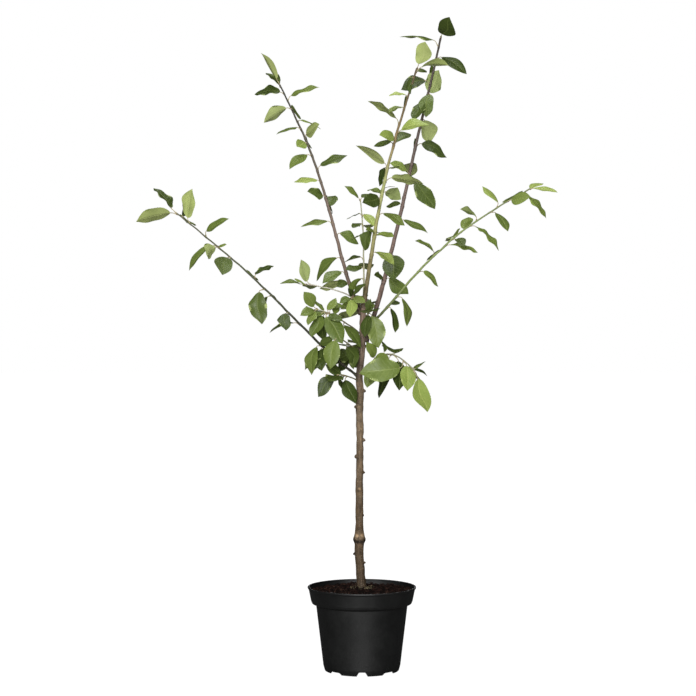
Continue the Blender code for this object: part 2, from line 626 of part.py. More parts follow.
def leaf_solid(path, share, leaf, grow=0.0):
    """One closed leaf: a thin four-sided stalk and a folded blade of diamond section."""
    _, aim, span, upper, habit = leaf
    root = along(path, share)
    stem = unit(STALK_LIFT * direction(path, share) + aim)
    base = root + stem * STALK_SHARE * span * habit["stalk"]
    chord = root + aim * span - base
    length = np.linalg.norm(chord)
    chord = chord / length
    points, tangents, uppers = blade_line(chord, upright(upper, chord), length, habit["arch"],
                                          LEAF_STEPS + (1.0,))
    points = points + base
    thickness = max(LEAF_THICKNESS_SHARE * length, LEAF_THICKNESS_LEAST)
    sections = [(root, stem, uppers[0], 0.0), (points[0], unit(tangents[0] + stem), uppers[0], 0.0)]
    sections += list(zip(points[1:-1], tangents[1:-1], uppers[1:-1], LEAF_STEPS[1:]))
    corners = []
    for centre, tangent, upper, step in sections:
        upper = upright(upper, tangent)
        side = np.cross(tangent, upper)
        twist = math.radians(habit["twist"]) * step
        fold = math.radians(habit["fold"]) if step else 0.0
        across = math.cos(twist) * side + math.sin(twist) * upper
        upper = math.cos(twist) * upper - math.sin(twist) * side
        half = max(blade_width(step) * length * habit["wide"] / 2, STALK_RADIUS) + grow
        flat, rise = half * math.cos(fold), half * math.sin(fold)
        deep = (thickness / 2 if step else STALK_RADIUS) + grow
        corners += [centre - across * flat + upper * rise, centre + upper * deep,
                    centre + across * flat + upper * rise, centre - upper * deep]
    corners.append(points[-1] + tangents[-1] * grow)
    faces = [(0, 1, 2, 3)]
    last = 4 * (len(sections) - 1)
    for ring in range(0, last, 4):
        for k in range(4):
            a, b = ring + k, ring + (k + 1) % 4
            faces.append((a, a + 4, b + 4, b))
    faces += [(last + k, last + 4, last + (k + 1) % 4) for k in range(4)]
    return corners, faces


def tree_of(points, faces):
    """Search tree of a solid, for telling whether two solids touch."""
    return BVHTree.FromPolygons([Vector(p) for p in points], faces)


def mass_limb(name):
    """The limb that a mass grows on, and the share of it where the mass starts."""
    if name in SPURS:
        return SPURS[name], 0.0
    limb = BOUGHS[name.replace("foliage", "bough")]
    return limb, limb["bare"] + GAP / limb["length"]


def shoot_solid(name, grow=0.0):
    """Closed tube for the leafy stretch of a bough, or for a whole spur."""
    limb, first = mass_limb(name)
    stations = SHOOT_STATIONS if first else SPUR_STATIONS
    return limb_solid(limb, first, 1.0, stations, SHOOT_SIDES, grow)


def build_masses(material):
    """Every leafy shoot and spur; a leaf that would touch a limb or another mass is skipped."""
    taken = {"trunk": [tree_of(*trunk_mesh(CLEARANCE))]}
    taken.update({name: [tree_of(*bare_bough(name, CLEARANCE))] for name in BOUGHS})
    taken.update({name: [tree_of(*shoot_solid(name, CLEARANCE))] for name in LEAVES})
    for number, name in enumerate(LEAVES):
        rng = random.Random(SEED + number)
        limb, first = mass_limb(name)
        path = limb_path(limb)
        item = add_object(name, mesh_from(name, *shoot_solid(name)), material)
        if name in SPURS:
            cut_clear(item, mesh_from("cutter", *trunk_mesh(GAP)))
        others = [tree for owner, trees in taken.items() if owner != name for tree in trees]
        leaves = []
        for leaf in leaf_rows(name, path, rng):
            share = min(max(leaf[0], first + ROOT_MARGIN), 1.0 - TIP_MARGIN)
            grown = tree_of(*leaf_solid(path, share, leaf, CLEARANCE))
            if not any(grown.overlap(tree) for tree in others):
                leaves.append(leaf_solid(path, share, leaf))
                taken[name].append(grown)
        join_all(item, leaves)
        keep_main_shell(item)


def main():
    clear_scene()
    plastic = make_material("pot_plastic", (0.020, 0.021, 0.021), 0.45)
    compost = make_material("compost", (0.045, 0.026, 0.018), 0.95)
    bark = make_material("bark", (0.180, 0.130, 0.095), 0.80)
    leaf_green = make_material("leaf_green", (0.110, 0.190, 0.045), 0.50)
    build_pot(plastic)
    build_compost(compost)
    build_trunk(bark)
    build_boughs(bark)
    build_masses(leaf_green)


main()
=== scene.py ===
"""Looks of the potted young plum tree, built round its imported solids.

The bark, the leafy shoots, the leaves, the pot and the compost are meshes worked out from named
sizes.  The limbs and leaves follow the same rule and the same seeded draws as the solids.
Lengths are metres unless a name ends in _MM, and angles are degrees.
"""
import math
import random

import bpy
import numpy as np
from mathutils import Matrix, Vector
from mathutils.bvhtree import BVHTree


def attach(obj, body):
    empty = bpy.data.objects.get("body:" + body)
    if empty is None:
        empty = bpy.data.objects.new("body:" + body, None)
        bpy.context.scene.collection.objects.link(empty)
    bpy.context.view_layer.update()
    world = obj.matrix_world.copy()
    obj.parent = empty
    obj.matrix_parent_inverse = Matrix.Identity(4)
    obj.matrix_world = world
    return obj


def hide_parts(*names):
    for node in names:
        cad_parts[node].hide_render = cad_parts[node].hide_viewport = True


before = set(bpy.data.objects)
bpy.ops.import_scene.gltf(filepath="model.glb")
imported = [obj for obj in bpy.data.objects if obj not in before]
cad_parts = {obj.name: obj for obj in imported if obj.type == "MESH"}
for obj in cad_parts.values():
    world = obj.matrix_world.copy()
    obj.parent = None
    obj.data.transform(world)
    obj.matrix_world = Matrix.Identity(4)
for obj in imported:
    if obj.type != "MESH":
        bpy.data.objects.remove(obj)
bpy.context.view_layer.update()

SEED = 41

# Camera: level, straight at the tree, with the lens that the photograph's perspective gives
CAMERA_PLACE = (-0.0287, -3.41, 0.667)
CAMERA_LENS_MM = 85.0
SENSOR_MM = 36.0

# Pot: radius and height of each ring of its outer skin
FOOT_RADIUS = 0.0770
BODY_LOW_RADIUS = 0.0800
BODY_TOP_RADIUS = 0.0950
COLLAR_LOW_RADIUS = 0.1055
COLLAR_TOP_RADIUS = 0.1105
RIM_RADIUS = 0.1125
FOOT_HEIGHT = 0.0110
BODY_HEIGHT = 0.1355
STEP_HEIGHT = 0.0030
COLLAR_LOW_HEIGHT = 0.1440
LIP_HEIGHT = 0.1680
POT_HEIGHT = 0.1725
POT_WALL = 0.0022
FOOT_WALL = 0.0030
FLOOR_UNDERSIDE = 0.0112
POT_FLOOR = 0.0135
MIDDLE_FOOT_RADIUS = 0.0120
POT_SEGMENTS = 192
CORNER_STEPS = 4
CORNER_RADIUS = 0.0012
CORNER_SHARE = 2.2
NOTCH_CORNER = 0.0022
LIP_RISE = 0.0012
HUB_RADIUS = 0.001

# Drain notches round the foot, the first one facing the front: widths at the bottom and the top, and
# height, of the straight ones and of the ones between them
NOTCH_COUNT = 8
FRONT_AZIMUTH = 270
NOTCH_SIZES = ((0.0230, 0.0130, 0.0088), (0.0330, 0.0240, 0.0048))
NOTCH_RADII = (0.0700, 0.0900)
NOTCH_BELOW = -0.0040

# Compost: a low dish with a small mound under the trunk
COMPOST_SIDE_GAP = 0.0004
COMPOST_EDGE_HEIGHT = 0.1630
COMPOST_MID_RADIUS = 0.0500
COMPOST_MID_HEIGHT = 0.1660
MOUND_RADIUS = 0.0150
MOUND_HEIGHT = 0.1700
COMPOST_RINGS = 64
COMPOST_SEGMENTS = 180
COMPOST_EDGE_RADIUS = 0.108
COMPOST_HUB_RADIUS = 0.004
COMPOST_RELIEF = ((0.0016, (0.030,) * 3, 26), (0.0012, (0.011,) * 3, 26), (0.0008, (0.0045,) * 3, 26))
CRUMB_COUNT = 620
CRUMB_SIZES = (0.0010, 0.0030)
CRUMB_LIFT = 0.35
CRUMB_RINGS = (-60, -20, 20, 60)
CRUMB_SIDES = 5
CRUMB_LUMPS = (0.7, 1.3)
CRUMB_SPREAD = (0.02, 0.94)
CRUMB_STRETCH = ((0.7, 1.8), (0.7, 1.3), (0.4, 0.9))
FIBRE_COUNT = 240
PALE_FIBRES = 50
PALE_REACH = (0.011, 0.026)
FIBRE_SPREAD = (0.05, 0.9)
FIBRE_LENGTHS = (0.006, 0.020)
FIBRE_BOWS = (-0.4, 0.4)
FIBRE_LIFTS = (0.0004, 0.0022)
FIBRE_RADII = (0.00022, 0.00055)
FIBRE_END = 0.4
FIBRE_EDGE = 0.98
FIBRE_STEPS = 6
FIBRE_SIDES = 4
FIBRE_GUIDE = (0.1, 0.2, 1.0)
COMPOST_SEED = SEED + 500

# Trunk: height above the mound, sideways lean, forward lean and diameter, all in millimetres
TRUNK_STATIONS_MM = (
    (0, -1, 0, 20.8), (6, -1, 0, 20.0), (34, -3, 0, 18.4), (74, -6, 1, 18.2), (91, -5, 1, 20.4),
    (99, -5, 1, 27.0), (108, -5, 1, 21.4), (121, -5, 1, 16.6), (211, -5, 0, 15.8), (270, -4, -1, 14.4),
    (309, -4, -1, 14.4), (320, -4, 0, 15.6), (373, -5, 0, 15.2), (405, -3, 1, 16.0), (436, -6, 1, 14.4),
    (468, -2, 0, 13.6), (501, 1, 0, 13.0), (564, 2, 0, 12.8), (592, 5, 0, 11.4),
)

# Old bud scars on the trunk: height above the mound, bearing round the trunk, size, in millimetres
TRUNK_KNOBS_MM = (
    (70, 190, 8.0), (52, 345, 8.0), (156, 100, 7.0), (150, 350, 6.0), (239, 5, 8.0), (272, 185, 9.5),
    (306, 350, 9.0), (336, 80, 7.0), (375, 195, 9.0), (408, 350, 9.0),
)
KNOB_ROOT = 0.4
KNOB_REACH = 0.52
KNOB_SAG = 0.12
KNOB_TALL = 1.3
KNOB_END = 0.96
KNOB_SIDES = 14
KNOB_STEPS = 8
KNOB_GUIDE = (0.0, 0.0, 1.0)
TRUNK_START = -0.004
LEAN_SPREAD = 8
RADIUS_SPREAD = 2


def new_limb(start, azimuth, length, rise, diameter_mm, bare=0.0):
    """One limb: its start on the trunk, compass heading from root to tip, whole length, rise from root
    to tip, diameters in millimetres at root and tip, and the share of it that is a bare bough."""
    return dict(start=start, azimuth=azimuth, length=length, rise=rise, diameter_mm=diameter_mm, bare=bare)


# Main boughs, with the leafy shoots that they end in
BOUGHS = {
    "bough_leader": new_limb((0.0050, 0.000, 0.763), (302, 302), 0.500, (74, 74, 68, 60, 57), (9.2, 3.2),
                             bare=0.180),
    "bough_left_low": new_limb((-0.008, 0.000, 0.608), (207, 207), 0.517, (34, 42, 42, 37, 35), (5.8, 2.5),
                               bare=0.150),
    "bough_left_upper": new_limb((-0.002, 0.003, 0.738), (128, 128), 0.594, (56, 68, 65, 55, 52), (8.4, 3.2),
                                 bare=0.110),
    "bough_right_upper": new_limb((0.008, 0.005, 0.680), (46, 46), 0.712, (64, 70, 72, 71, 72), (10.4, 4.2),
                                  bare=0.185),
    "bough_right_low": new_limb((0.003, 0.000, 0.699), (338, 338), 0.461, (43, 48, 41, 31, 26), (5.8, 2.5),
                                bare=0.138),
}

# Short leafy spurs that spring straight from the trunk
SPURS = {
    "foliage_left_spur": new_limb((-0.002, -0.002, 0.760), (205, 195), 0.128, (35, 14, 6), (3.2, 2.2)),
    "foliage_inner_twig": new_limb((0.003, 0.006, 0.750), (70, 130), 0.228, (84, 86, 84, 78), (3.8, 2.4)),
    "foliage_left_cluster": new_limb((-0.001, -0.002, 0.695), (214, 214), 0.120, (34, 26, 14), (3.4, 2.0)),
    "foliage_low_cluster": new_limb((-0.002, -0.002, 0.656), (235, 235), 0.088, (26, 22, 18), (3.4, 2.2)),
    "foliage_low_spur": new_limb((-0.004, -0.001, 0.596), (226, 220), 0.064, (26, 14, 6), (3.2, 2.2)),
    "foliage_right_spur": new_limb((0, -0.002, 0.616), (320, 320), 0.158, (38, 38, 2, -30, -45), (3.8, 2.2)),
    "foliage_front_cluster": new_limb((0.001, -0.002, 0.713), (288, 292), 0.044, (44, 30), (3.4, 2.4)),
    "foliage_fork_cluster": new_limb((0.001, -0.002, 0.750), (226, 222), 0.034, (40, 30), (3.2, 2.2)),
    "foliage_back_low": new_limb((-0.003, 0.002, 0.640), (84, 96), 0.096, (38, 22, 8), (3.6, 2.2)),
    "foliage_back_high": new_limb((0.001, 0.002, 0.722), (96, 84), 0.082, (46, 36, 24), (3.4, 2.2)),
}
PATH_STEPS = 60
AIM_STEP = 0.02
GAP = 0.0003
ROOT_MARGIN = 0.01
TIP_MARGIN = 0.005
RING_GUIDE = (0.13, 1.0, 0.07)

# Leaves that the front view shows.  Each row is one leaf: its root as a share of the shoot, the
# bearing from root to tip in the front view (0 right, 90 up), the span from root to tip in
# millimetres, how far it leans towards the front, and which way its upper side looks (0 to the
# front, 90 to the sky, 180 to the back)
LEAVES = {
    "foliage_left_low": (
        (0.17, 220, 64, 20, 50), (0.18, 240, 60, 32, 35), (0.19, 265, 58, 36, 40),
        (0.205, 252, 70, 25, 40), (0.33, 196, 68, 18, 70), (0.395, 262, 56, 50, 5),
        (0.495, 248, 55, -30, 60), (0.535, 266, 74, 14, 16), (0.59, 38, 54, -30, 66),
        (0.72, 250, 68, 55, 0), (0.78, 222, 56, 60, 155), (0.785, 16, 20, 30, 60),
        (0.795, 221, 76, -10, 66), (0.85, 36, 62, 18, 56), (0.93, 88, 74, -14, 120),
        (0.96, 96, 46, -38, 76), (0.99, 191, 84, 12, 114), (1.0, 133, 74, -15, 76),
    ),
    "foliage_left_upper": (
        (0.12, 188, 68, 20, 115), (0.125, 196, 36, 40, 20), (0.165, 203, 60, 25, 40),
        (0.225, 221, 74, -14, 62), (0.315, 341, 54, -20, 45), (0.36, 185, 70, 8, 62),
        (0.42, 68, 48, -42, 15), (0.465, 163, 52, 38, 35), (0.53, 181, 62, 20, 62),
        (0.58, 28, 74, -8, 58), (0.645, 213, 62, 22, 45), (0.70, 205, 46, 58, 20),
        (0.725, 50, 58, -35, 125), (0.77, 196, 62, 28, 68), (0.805, 346, 58, -25, 70),
        (0.87, 207, 68, 5, 130), (0.91, 22, 77, 8, 65), (0.945, 177, 72, -20, 45),
        (0.98, 134, 58, -28, 60), (0.99, 111, 48, -34, 60), (1.0, 121, 80, 12, 115),
    ),
    "foliage_leader": (
        (0.20, 334, 62, 35, 62), (0.275, 357, 50, 38, 65), (0.285, 355, 36, -48, 85),
        (0.29, 167, 34, 55, 60), (0.30, 242, 48, -22, 30), (0.363, 340, 60, 12, 62),
        (0.43, 192, 52, 42, 15), (0.445, 148, 46, -45, 60), (0.455, 350, 52, -38, 140),
        (0.475, 9, 30, 32, 80), (0.504, 357, 82, 15, 116), (0.553, 21, 40, -45, 80),
        (0.561, 142, 82, -8, 113), (0.565, 244, 46, -36, 55), (0.665, 178, 48, -34, 45),
        (0.655, 40, 56, -30, 45), (0.69, 172, 46, 44, 25), (0.712, 14, 70, 15, 50),
        (0.75, 142, 80, 0, 94), (0.82, 200, 42, 36, 60), (0.87, 178, 42, 25, 62),
        (0.93, 262, 26, 30, 60), (0.975, 22, 36, -45, 40), (0.955, 232, 34, -38, 60),
        (0.985, 12, 68, -12, 97), (1.0, 73, 66, 44, 170),
    ),
    "foliage_right_upper": (
        (0.19, 151, 38, 50, 60), (0.20, 330, 62, -16, 14), (0.27, 277, 76, 48, 0),
        (0.385, 338, 68, 10, 60), (0.435, 176, 44, -40, 50), (0.535, 150, 52, 20, 50),
        (0.51, 316, 82, 8, 38), (0.57, 272, 62, -72, 180), (0.63, 342, 74, -15, 40),
        (0.715, 294, 66, -42, 165), (0.77, 236, 58, 32, 45), (0.80, 264, 62, 30, 14),
        (0.79, 67, 72, -16, 165), (0.92, 332, 76, 10, 58), (0.96, 167, 90, 8, 74),
        (0.985, 66, 76, 58, 0), (0.835, 192, 66, 10, 30),
    ),
    "foliage_right_low": (
        (0.16, 287, 60, 24, 70), (0.165, 20, 36, -40, 50), (0.225, 289, 68, 15, 66),
        (0.375, 325, 56, -22, 52), (0.475, 143, 56, 28, 70), (0.54, 350, 72, -10, 76),
        (0.585, 326, 44, 48, 35), (0.64, 63, 52, -44, 40), (0.685, 318, 80, 16, 75),
        (0.72, 138, 48, -32, 100), (0.795, 309, 62, 32, 58), (0.83, 120, 60, -26, 64),
        (0.885, 8, 58, 42, 34), (0.95, 316, 72, 10, 64), (0.98, 25, 52, -36, 66), (1.0, 352, 58, 15, 66),
    ),
    "foliage_inner_twig": (
        (0.26, 226, 44, 24, 60), (0.355, 184, 46, 34, 62), (0.44, 184, 48, -34, 74),
        (0.65, 188, 34, -48, 80), (0.76, 197, 36, 50, 60), (0.845, 318, 44, 40, 50),
        (0.855, 191, 42, -38, 75), (0.99, 138, 48, 18, 60), (1.0, 28, 42, -40, 50),
    ),
    "foliage_left_spur": (
        (0.90, 113, 60, -15, 142), (0.97, 159, 38, 42, 70), (1.0, 179, 54, 10, 68),
    ),
    "foliage_left_cluster": (
        (1.0, 128, 52, 30, 15), (1.0, 200, 46, 35, 20), (0.99, 238, 44, 30, 25),
        (0.80, 135, 42, -20, 60), (0.76, 66, 40, -25, 30), (0.74, 24, 42, -30, 55),
        (0.78, 190, 46, 24, 55), (0.75, 330, 40, 38, 30), (0.78, 296, 74, 20, 20),
        (0.85, 243, 60, 14, 30), (0.80, 264, 60, -15, 40), (0.40, 302, 66, 18, 60),
        (0.60, 92, 40, -30, 40),
    ),
    "foliage_low_cluster": (
        (0.30, 268, 50, 28, 25), (0.80, 334, 36, 44, 60), (0.92, 274, 70, 26, 10),
        (1.0, 256, 70, 18, 15), (0.60, 290, 56, -12, 40), (1.0, 200, 44, -20, 40),
    ),
    "foliage_low_spur": (
        (0.62, 288, 62, 18, 30), (0.97, 290, 34, -20, 70), (1.0, 228, 62, 8, 15),
        (0.70, 150, 50, 20, 40), (0.45, 118, 46, -15, 50),
    ),
    "foliage_right_spur": (
        (0.25, 111, 50, 32, 25), (0.42, 100, 36, -20, 60), (0.18, 262, 52, 20, 15),
        (0.32, 273, 84, -8, 50), (0.55, 203, 46, -25, 45), (0.62, 277, 74, 14, 30),
        (0.78, 196, 96, 12, 12), (0.80, 275, 64, 20, 15), (0.90, 300, 48, -18, 108),
        (0.93, 332, 44, -28, 80), (1.0, 288, 88, 6, 32),
    ),
    "foliage_front_cluster": (
        (0.85, 62, 34, -40, 40), (0.95, 80, 32, 20, 30), (1.0, 286, 76, 8, 4), (0.92, 262, 56, 28, 30),
    ),
    "foliage_fork_cluster": (
        (0.60, 204, 40, -20, 60), (0.95, 48, 44, 22, 60), (1.0, 201, 34, 30, 30),
        (0.97, 262, 48, 35, 15), (0.98, 340, 36, 40, 30), (0.99, 116, 30, 40, 30),
    ),
    "foliage_back_low": (
        (0.30, 200, 70, -10, 50), (0.45, 222, 72, -20, 40),
    ),
    "foliage_back_high": (),
}

# More leaves on the sides that the front view hides: how many, the compass heading they favour and
# how far they stray from it
HIDDEN_LEAVES = {
    "foliage_left_low": (3, 90, 6), "foliage_left_upper": (3, 90, 6), "foliage_leader": (2, 90, 6),
    "foliage_right_upper": (3, 90, 6), "foliage_right_low": (3, 90, 6),
    "foliage_inner_twig": (2, 90, 20), "foliage_left_spur": (2, 90, 20),
    "foliage_left_cluster": (2, 130, 50), "foliage_low_cluster": (2, 250, 50),
    "foliage_low_spur": (1, 250, 40), "foliage_right_spur": (2, 20, 60),
    "foliage_front_cluster": (1, 290, 40), "foliage_fork_cluster": (1, 100, 40),
    "foliage_back_low": (6, 90, 42), "foliage_back_high": (9, 90, 50),
}
HIDDEN_FIRST = 0.30
HIDDEN_PLACE = (0.2, 0.8)
BEHIND_STRAY = 6
HIDDEN_SPAN_MM = (50, 76)
DROOP_SHARE = 0.30
LIFT_SHARE = 0.20
ROLL_SHARE = 0.35

# Veins of a leaf: pairs of side veins and how they sweep, curve and wander, how strong they are beside
# the midrib, and how strong the fine net between them is in the relief
VEIN_PAIRS = 7.5
VEIN_SWEEP = 1.7
VEIN_CURVE = 0.85
VEIN_WANDER = 0.35
RIB_SHARE = 0.48
RIB_BAND = (0.72, 1.0)
RIB_FADE = (0.70, 1.0)
MIDRIB_FADE = (0.03, 0.11)
NET_SHARE = 0.18
NET_STRETCH = (4.0, 12.0, 7.0)
LEAF_MOTTLE = (2.0, 4.0, 11.0)

# Seeded draws of a leaf: width share, fold, twist, arch and stalk length factor, and then the waves of
# its margin, how far the margin curls down and how far the midrib sways
LEAF_HABITS = dict(wide=(0.52, 0.66), fold=(6, 20), twist=(-16, 16), arch=(14, 40), stalk=(0.85, 1.15))
LEAF_SHAPES = dict(wave=(0.025, 0.12), waves=(1.0, 2.4), phase=(0.0, 1.0), curl=(0.0, 0.30),
                   sway=(-0.12, 0.12))

# Leaf stalk and blade
STALK_SHARE = 0.20
STALK_LIFT = 0.9
STALK_RADII = (0.00130, 0.00080)
STALK_FOOT = 1.3
STALK_PLACES = (0, 0.15, 0.5, 1)
STALK_LEAVE = 0.45
STALK_MEET = 0.35
STALK_OVERLAP = 0.15
STALK_GUIDE = (0.3, 0.2, 1.0)
BLADE_FRONT = 0.93
BLADE_BLUNT = 0.62
BLADE_POINT = 0.30
BLADE_ROWS = 26
BLADE_ACROSS = (-1.0, -0.64, -0.24, 0.0, 0.24, 0.64, 1.0)
BLADE_THICK = 0.00030
BLADE_THINNING = 0.5
RIB_THICK = 0.00095
RIB_GROOVE = 0.00022
TOOTH = 0.014
WIDEN = 1.06
MARGIN_SWAY = 0.35
MARGIN_OFFSET = 0.22
TOOTH_START = 0.08
BLADE_CREASE = 1.3
SWAY_LEAD = 0.6
STALK_STEPS = 7
STALK_SIDES = 6

# Shoots: swellings at the leaf roots and the buds that sit there
NODE_SWELL = 0.20
NODE_LENGTH = 0.0026
RING_STEP = 0.0022
SHOOT_SIDES = 10
BUD_LENGTH = 0.0036
BUD_RADIUS = 0.0012
BUD_SIDES = 7
BUD_STEPS = 7
BUD_GUIDE = 0.1
BUD_SINK = 0.55
BUD_SPREAD = 0.55
BUD_RISE = 0.0008
BUD_TIP = 0.0005
BUD_TINT = (0.10, 0.060, 0.040)
SHOOT_END = 0.0025
SHOOT_END_SHARE = 0.12
SHOOT_WANDER = 0.0004
WANDER_WAVES = ((0.03, 0.03, 0.03), 6)
LOOK_SEED = SEED * 100

# Plain tubes that leaves are tested against: sides of the trunk, and step and sides of boughs and stems
TRUNK_TUBE_SIDES = 14
BOUGH_TUBE = (0.006, 8)
STEM_TUBE = (0.008, 5)

# Bark mesh of the trunk and the bare boughs
BARK_VOXEL = 0.0008
BARK_STEP = 0.0015
BARK_SIDES = 28
LEAST_RINGS = 4
COLLAR_SWELL = 0.35
COLLAR_LENGTH = 0.0060
TINT_BLEND = 0.0015
POINT_BLOCKS = 24

# Relief of the bark and its shades, as ripples: height, wave lengths round and along the limb, and
# number of waves
BARK_RELIEF = ((0.00022, (0.0026, 0.0026, 0.030), 40), (0.00030, (0.010, 0.010, 0.016), 30),
               (0.00010, (0.012, 0.012, 0.0024), 30))
BARK_SHADES = ((0.14, (0.0042, 0.0042, 0.050), 30), (0.09, (0.008, 0.008, 0.020), 24))


def unit(vectors):
    """Vectors brought to length one along their last axis."""
    return vectors / np.linalg.norm(vectors, axis=-1, keepdims=True)


def heading(azimuth, rise):
    """Unit vectors from compass azimuth (0 is +X, 90 is +Y) and rise above level."""
    a, r = np.radians(azimuth), np.radians(rise)
    return np.stack((np.cos(r) * np.cos(a), np.cos(r) * np.sin(a), np.sin(r)), axis=-1)


def limb_path(limb):
    """Centre line of a limb: equal steps whose azimuth and rise turn evenly from root to tip."""
    share = (np.arange(PATH_STEPS) + 0.5) / PATH_STEPS
    turn = np.interp(share, np.linspace(0, 1, len(limb["azimuth"])), limb["azimuth"])
    climb = np.interp(share, np.linspace(0, 1, len(limb["rise"])), limb["rise"])
    steps = heading(turn, climb) * limb["length"] / PATH_STEPS
    return np.vstack((np.zeros(3), np.cumsum(steps, axis=0))) + limb["start"]


def between(place, known, rows):
    """Rows of numbers read between known places."""
    rows = np.asarray(rows)
    return np.stack([np.interp(place, known, rows[:, part]) for part in range(rows.shape[1])], axis=-1)


def along(path, share):
    """Points of an evenly stepped path at shares of its length."""
    return between(share, np.linspace(0, 1, len(path)), path)


def direction(path, share):
    """Unit direction of a path at a share of its length."""
    low, high = max(0.0, share - AIM_STEP), min(1.0, share + AIM_STEP)
    return unit(along(path, high) - along(path, low))


def upright(vector, axis):
    """The part of a vector that is square to an axis, at unit length."""
    return unit(vector - axis * np.sum(vector * axis, axis=-1, keepdims=True))


def ripple(place, lengths, waves, rng):
    """Seeded relief from -1 to 1: the sum of sine waves with random headings.

    Each wave is sin(2 pi place . k + phase), where k is a random direction over the three wave
    lengths, and the sum is divided by the square root of the number of waves.
    """
    draws = np.array([[rng.gauss(0, 1) for _ in range(3)] for _ in range(waves)])
    phases = np.array([rng.uniform(0, 2 * math.pi) for _ in range(waves)])
    total = np.sin(2 * math.pi * (place / np.array(lengths)) @ unit(draws).T + phases).sum(axis=-1)
    return total / math.sqrt(waves)


def ripples(place, settings, rng, start=0.0):
    """A start value plus ripples, each given as height, three wave lengths and number of waves."""
    return sum((height * ripple(place, lengths, waves, rng) for height, lengths, waves in settings), start)


# Skins and pieces

def ring_faces(count, sides):
    """Quads between neighbouring closed rings of points, numbered ring by ring."""
    ring, corner = np.meshgrid(np.arange(count - 1), np.arange(sides), indexing="ij")
    after = (corner + 1) % sides
    quads = np.stack((ring * sides + corner, ring * sides + after,
                      (ring + 1) * sides + after, (ring + 1) * sides + corner), axis=-1)
    return quads.reshape(-1, 4)


def close_rings(rings, tip=None, finish=0):
    """Closed outward skin over rings of points: a cap first, and a cap or a pointed tip at the end.

    The finish is one number, or one for each face round a ring.
    """
    count, sides = rings.shape[:2]
    around = np.broadcast_to(finish, sides)
    points = rings.reshape(-1, 3)
    first, last = np.arange(sides), (count - 1) * sides + np.arange(sides)
    faces = [(ring_faces(count, sides), np.tile(around, count - 1)), (first[None, ::-1], around[:1])]
    if tip is None:
        faces.append((last[None, :], around[:1]))
    else:
        points = np.vstack((points, tip))
        fan = np.column_stack((last, np.roll(last, -1), np.full(sides, len(points) - 1)))
        faces.append((fan, around))
    return outward(dict(points=points, faces=faces))


def ring_angles(sides):
    """Angles of the points round a ring, in radians."""
    return 2 * math.pi * np.arange(sides) / sides


def path_frame(path, guide=RING_GUIDE):
    """Unit tangents of a path, and two unit directions across it."""
    tangents = unit(np.gradient(path, axis=0))
    side = unit(np.cross(tangents, guide))
    return tangents, side, np.cross(tangents, side)


def sweep(path, radii, sides, guide=RING_GUIDE):
    """Rings round a path: centre + radius * (cos angle * side + sin angle * other)."""
    _, side, other = path_frame(path, guide)
    angle = ring_angles(sides)[None, :, None]
    reach = np.broadcast_to(radii, len(path))[:, None, None]
    return path[:, None] + reach * (np.cos(angle) * side[:, None] + np.sin(angle) * other[:, None])


def turned(profile, sides):
    """Rings of a turned body: each profile point goes round at (radius cos, radius sin, height)."""
    angle, radius, height = ring_angles(sides), profile[:, :1], profile[:, 1:]
    return np.stack(np.broadcast_arrays(radius * np.cos(angle), radius * np.sin(angle), height), axis=-1)


def straight_place(distances, radii, sides):
    """Straightened place of a tube's points: the ring laid flat, with the distance along as height."""
    profile = np.column_stack((np.broadcast_to(radii, len(distances)), distances))
    return turned(profile, sides).reshape(-1, 3)


def outward(part):
    """The closed part with its faces turned to point outwards, so that its volume is positive.

    Six times the volume is the sum of triple products over each face's fan of triangles.
    """
    volume = 0.0
    for faces, _ in part["faces"]:
        corners = part["points"][faces]
        for k in range(1, faces.shape[1] - 1):
            volume += np.sum(corners[:, 0] * np.cross(corners[:, k], corners[:, k + 1]))
    if volume < 0:
        part["faces"] = [(faces[:, ::-1], finish) for faces, finish in part["faces"]]
    return part


def mesh_of(name, parts, attributes=()):
    """One mesh from closed parts; each attribute is a named vector of every point."""
    points, faces, finishes = [], [], []
    for part in parts:
        for group, finish in part["faces"]:
            faces += (group + len(points)).tolist()
            finishes += np.broadcast_to(finish, len(group)).tolist()
        points += part["points"].tolist()
    mesh = bpy.data.meshes.new(name)
    mesh.from_pydata(points, [], faces)
    mesh.polygons.foreach_set("material_index", finishes)
    for label in attributes:
        store(mesh, label, np.vstack([part[label] for part in parts]))
    mesh.validate()
    return mesh


def store(mesh, label, values):
    """Keep a vector for every point of a mesh."""
    layer = mesh.attributes.new(label, "FLOAT_VECTOR", "POINT")
    layer.data.foreach_set("vector", np.ascontiguousarray(values, dtype=np.float32).ravel())


def linked(name, data):
    """A new object in the scene."""
    item = bpy.data.objects.new(name, data)
    bpy.context.scene.collection.objects.link(item)
    return item


def make_piece(name, shape, materials, nodes, attributes=(), crisp=50.0):
    """A finished piece of a mesh or of closed parts, with the solids that it stands for."""
    mesh = shape if isinstance(shape, bpy.types.Mesh) else mesh_of(name, shape, attributes)
    for material in materials:
        mesh.materials.append(material)
    mesh.shade_smooth()
    mesh.set_sharp_from_angle(angle=math.radians(crisp))
    piece = linked(name, mesh)
    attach(piece, "root")
    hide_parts(*nodes)


def applied(mesh, *modifiers):
    """A mesh after modifiers, each given as (kind, settings)."""
    carrier = linked("carrier", mesh)
    for number, (kind, settings) in enumerate(modifiers):
        modifier = carrier.modifiers.new(f"step_{number}", kind)
        for key, value in settings.items():
            setattr(modifier, key, value)
    graph = bpy.context.evaluated_depsgraph_get()
    result = bpy.data.meshes.new_from_object(carrier.evaluated_get(graph))
    bpy.data.objects.remove(carrier, do_unlink=True)
    return result


def readings(items, key):
    """A vector of every item of a mesh, as an array."""
    values = np.zeros(len(items) * 3, np.float32)
    items.foreach_get(key, values)
    return values.reshape(-1, 3).astype(float)


# Materials

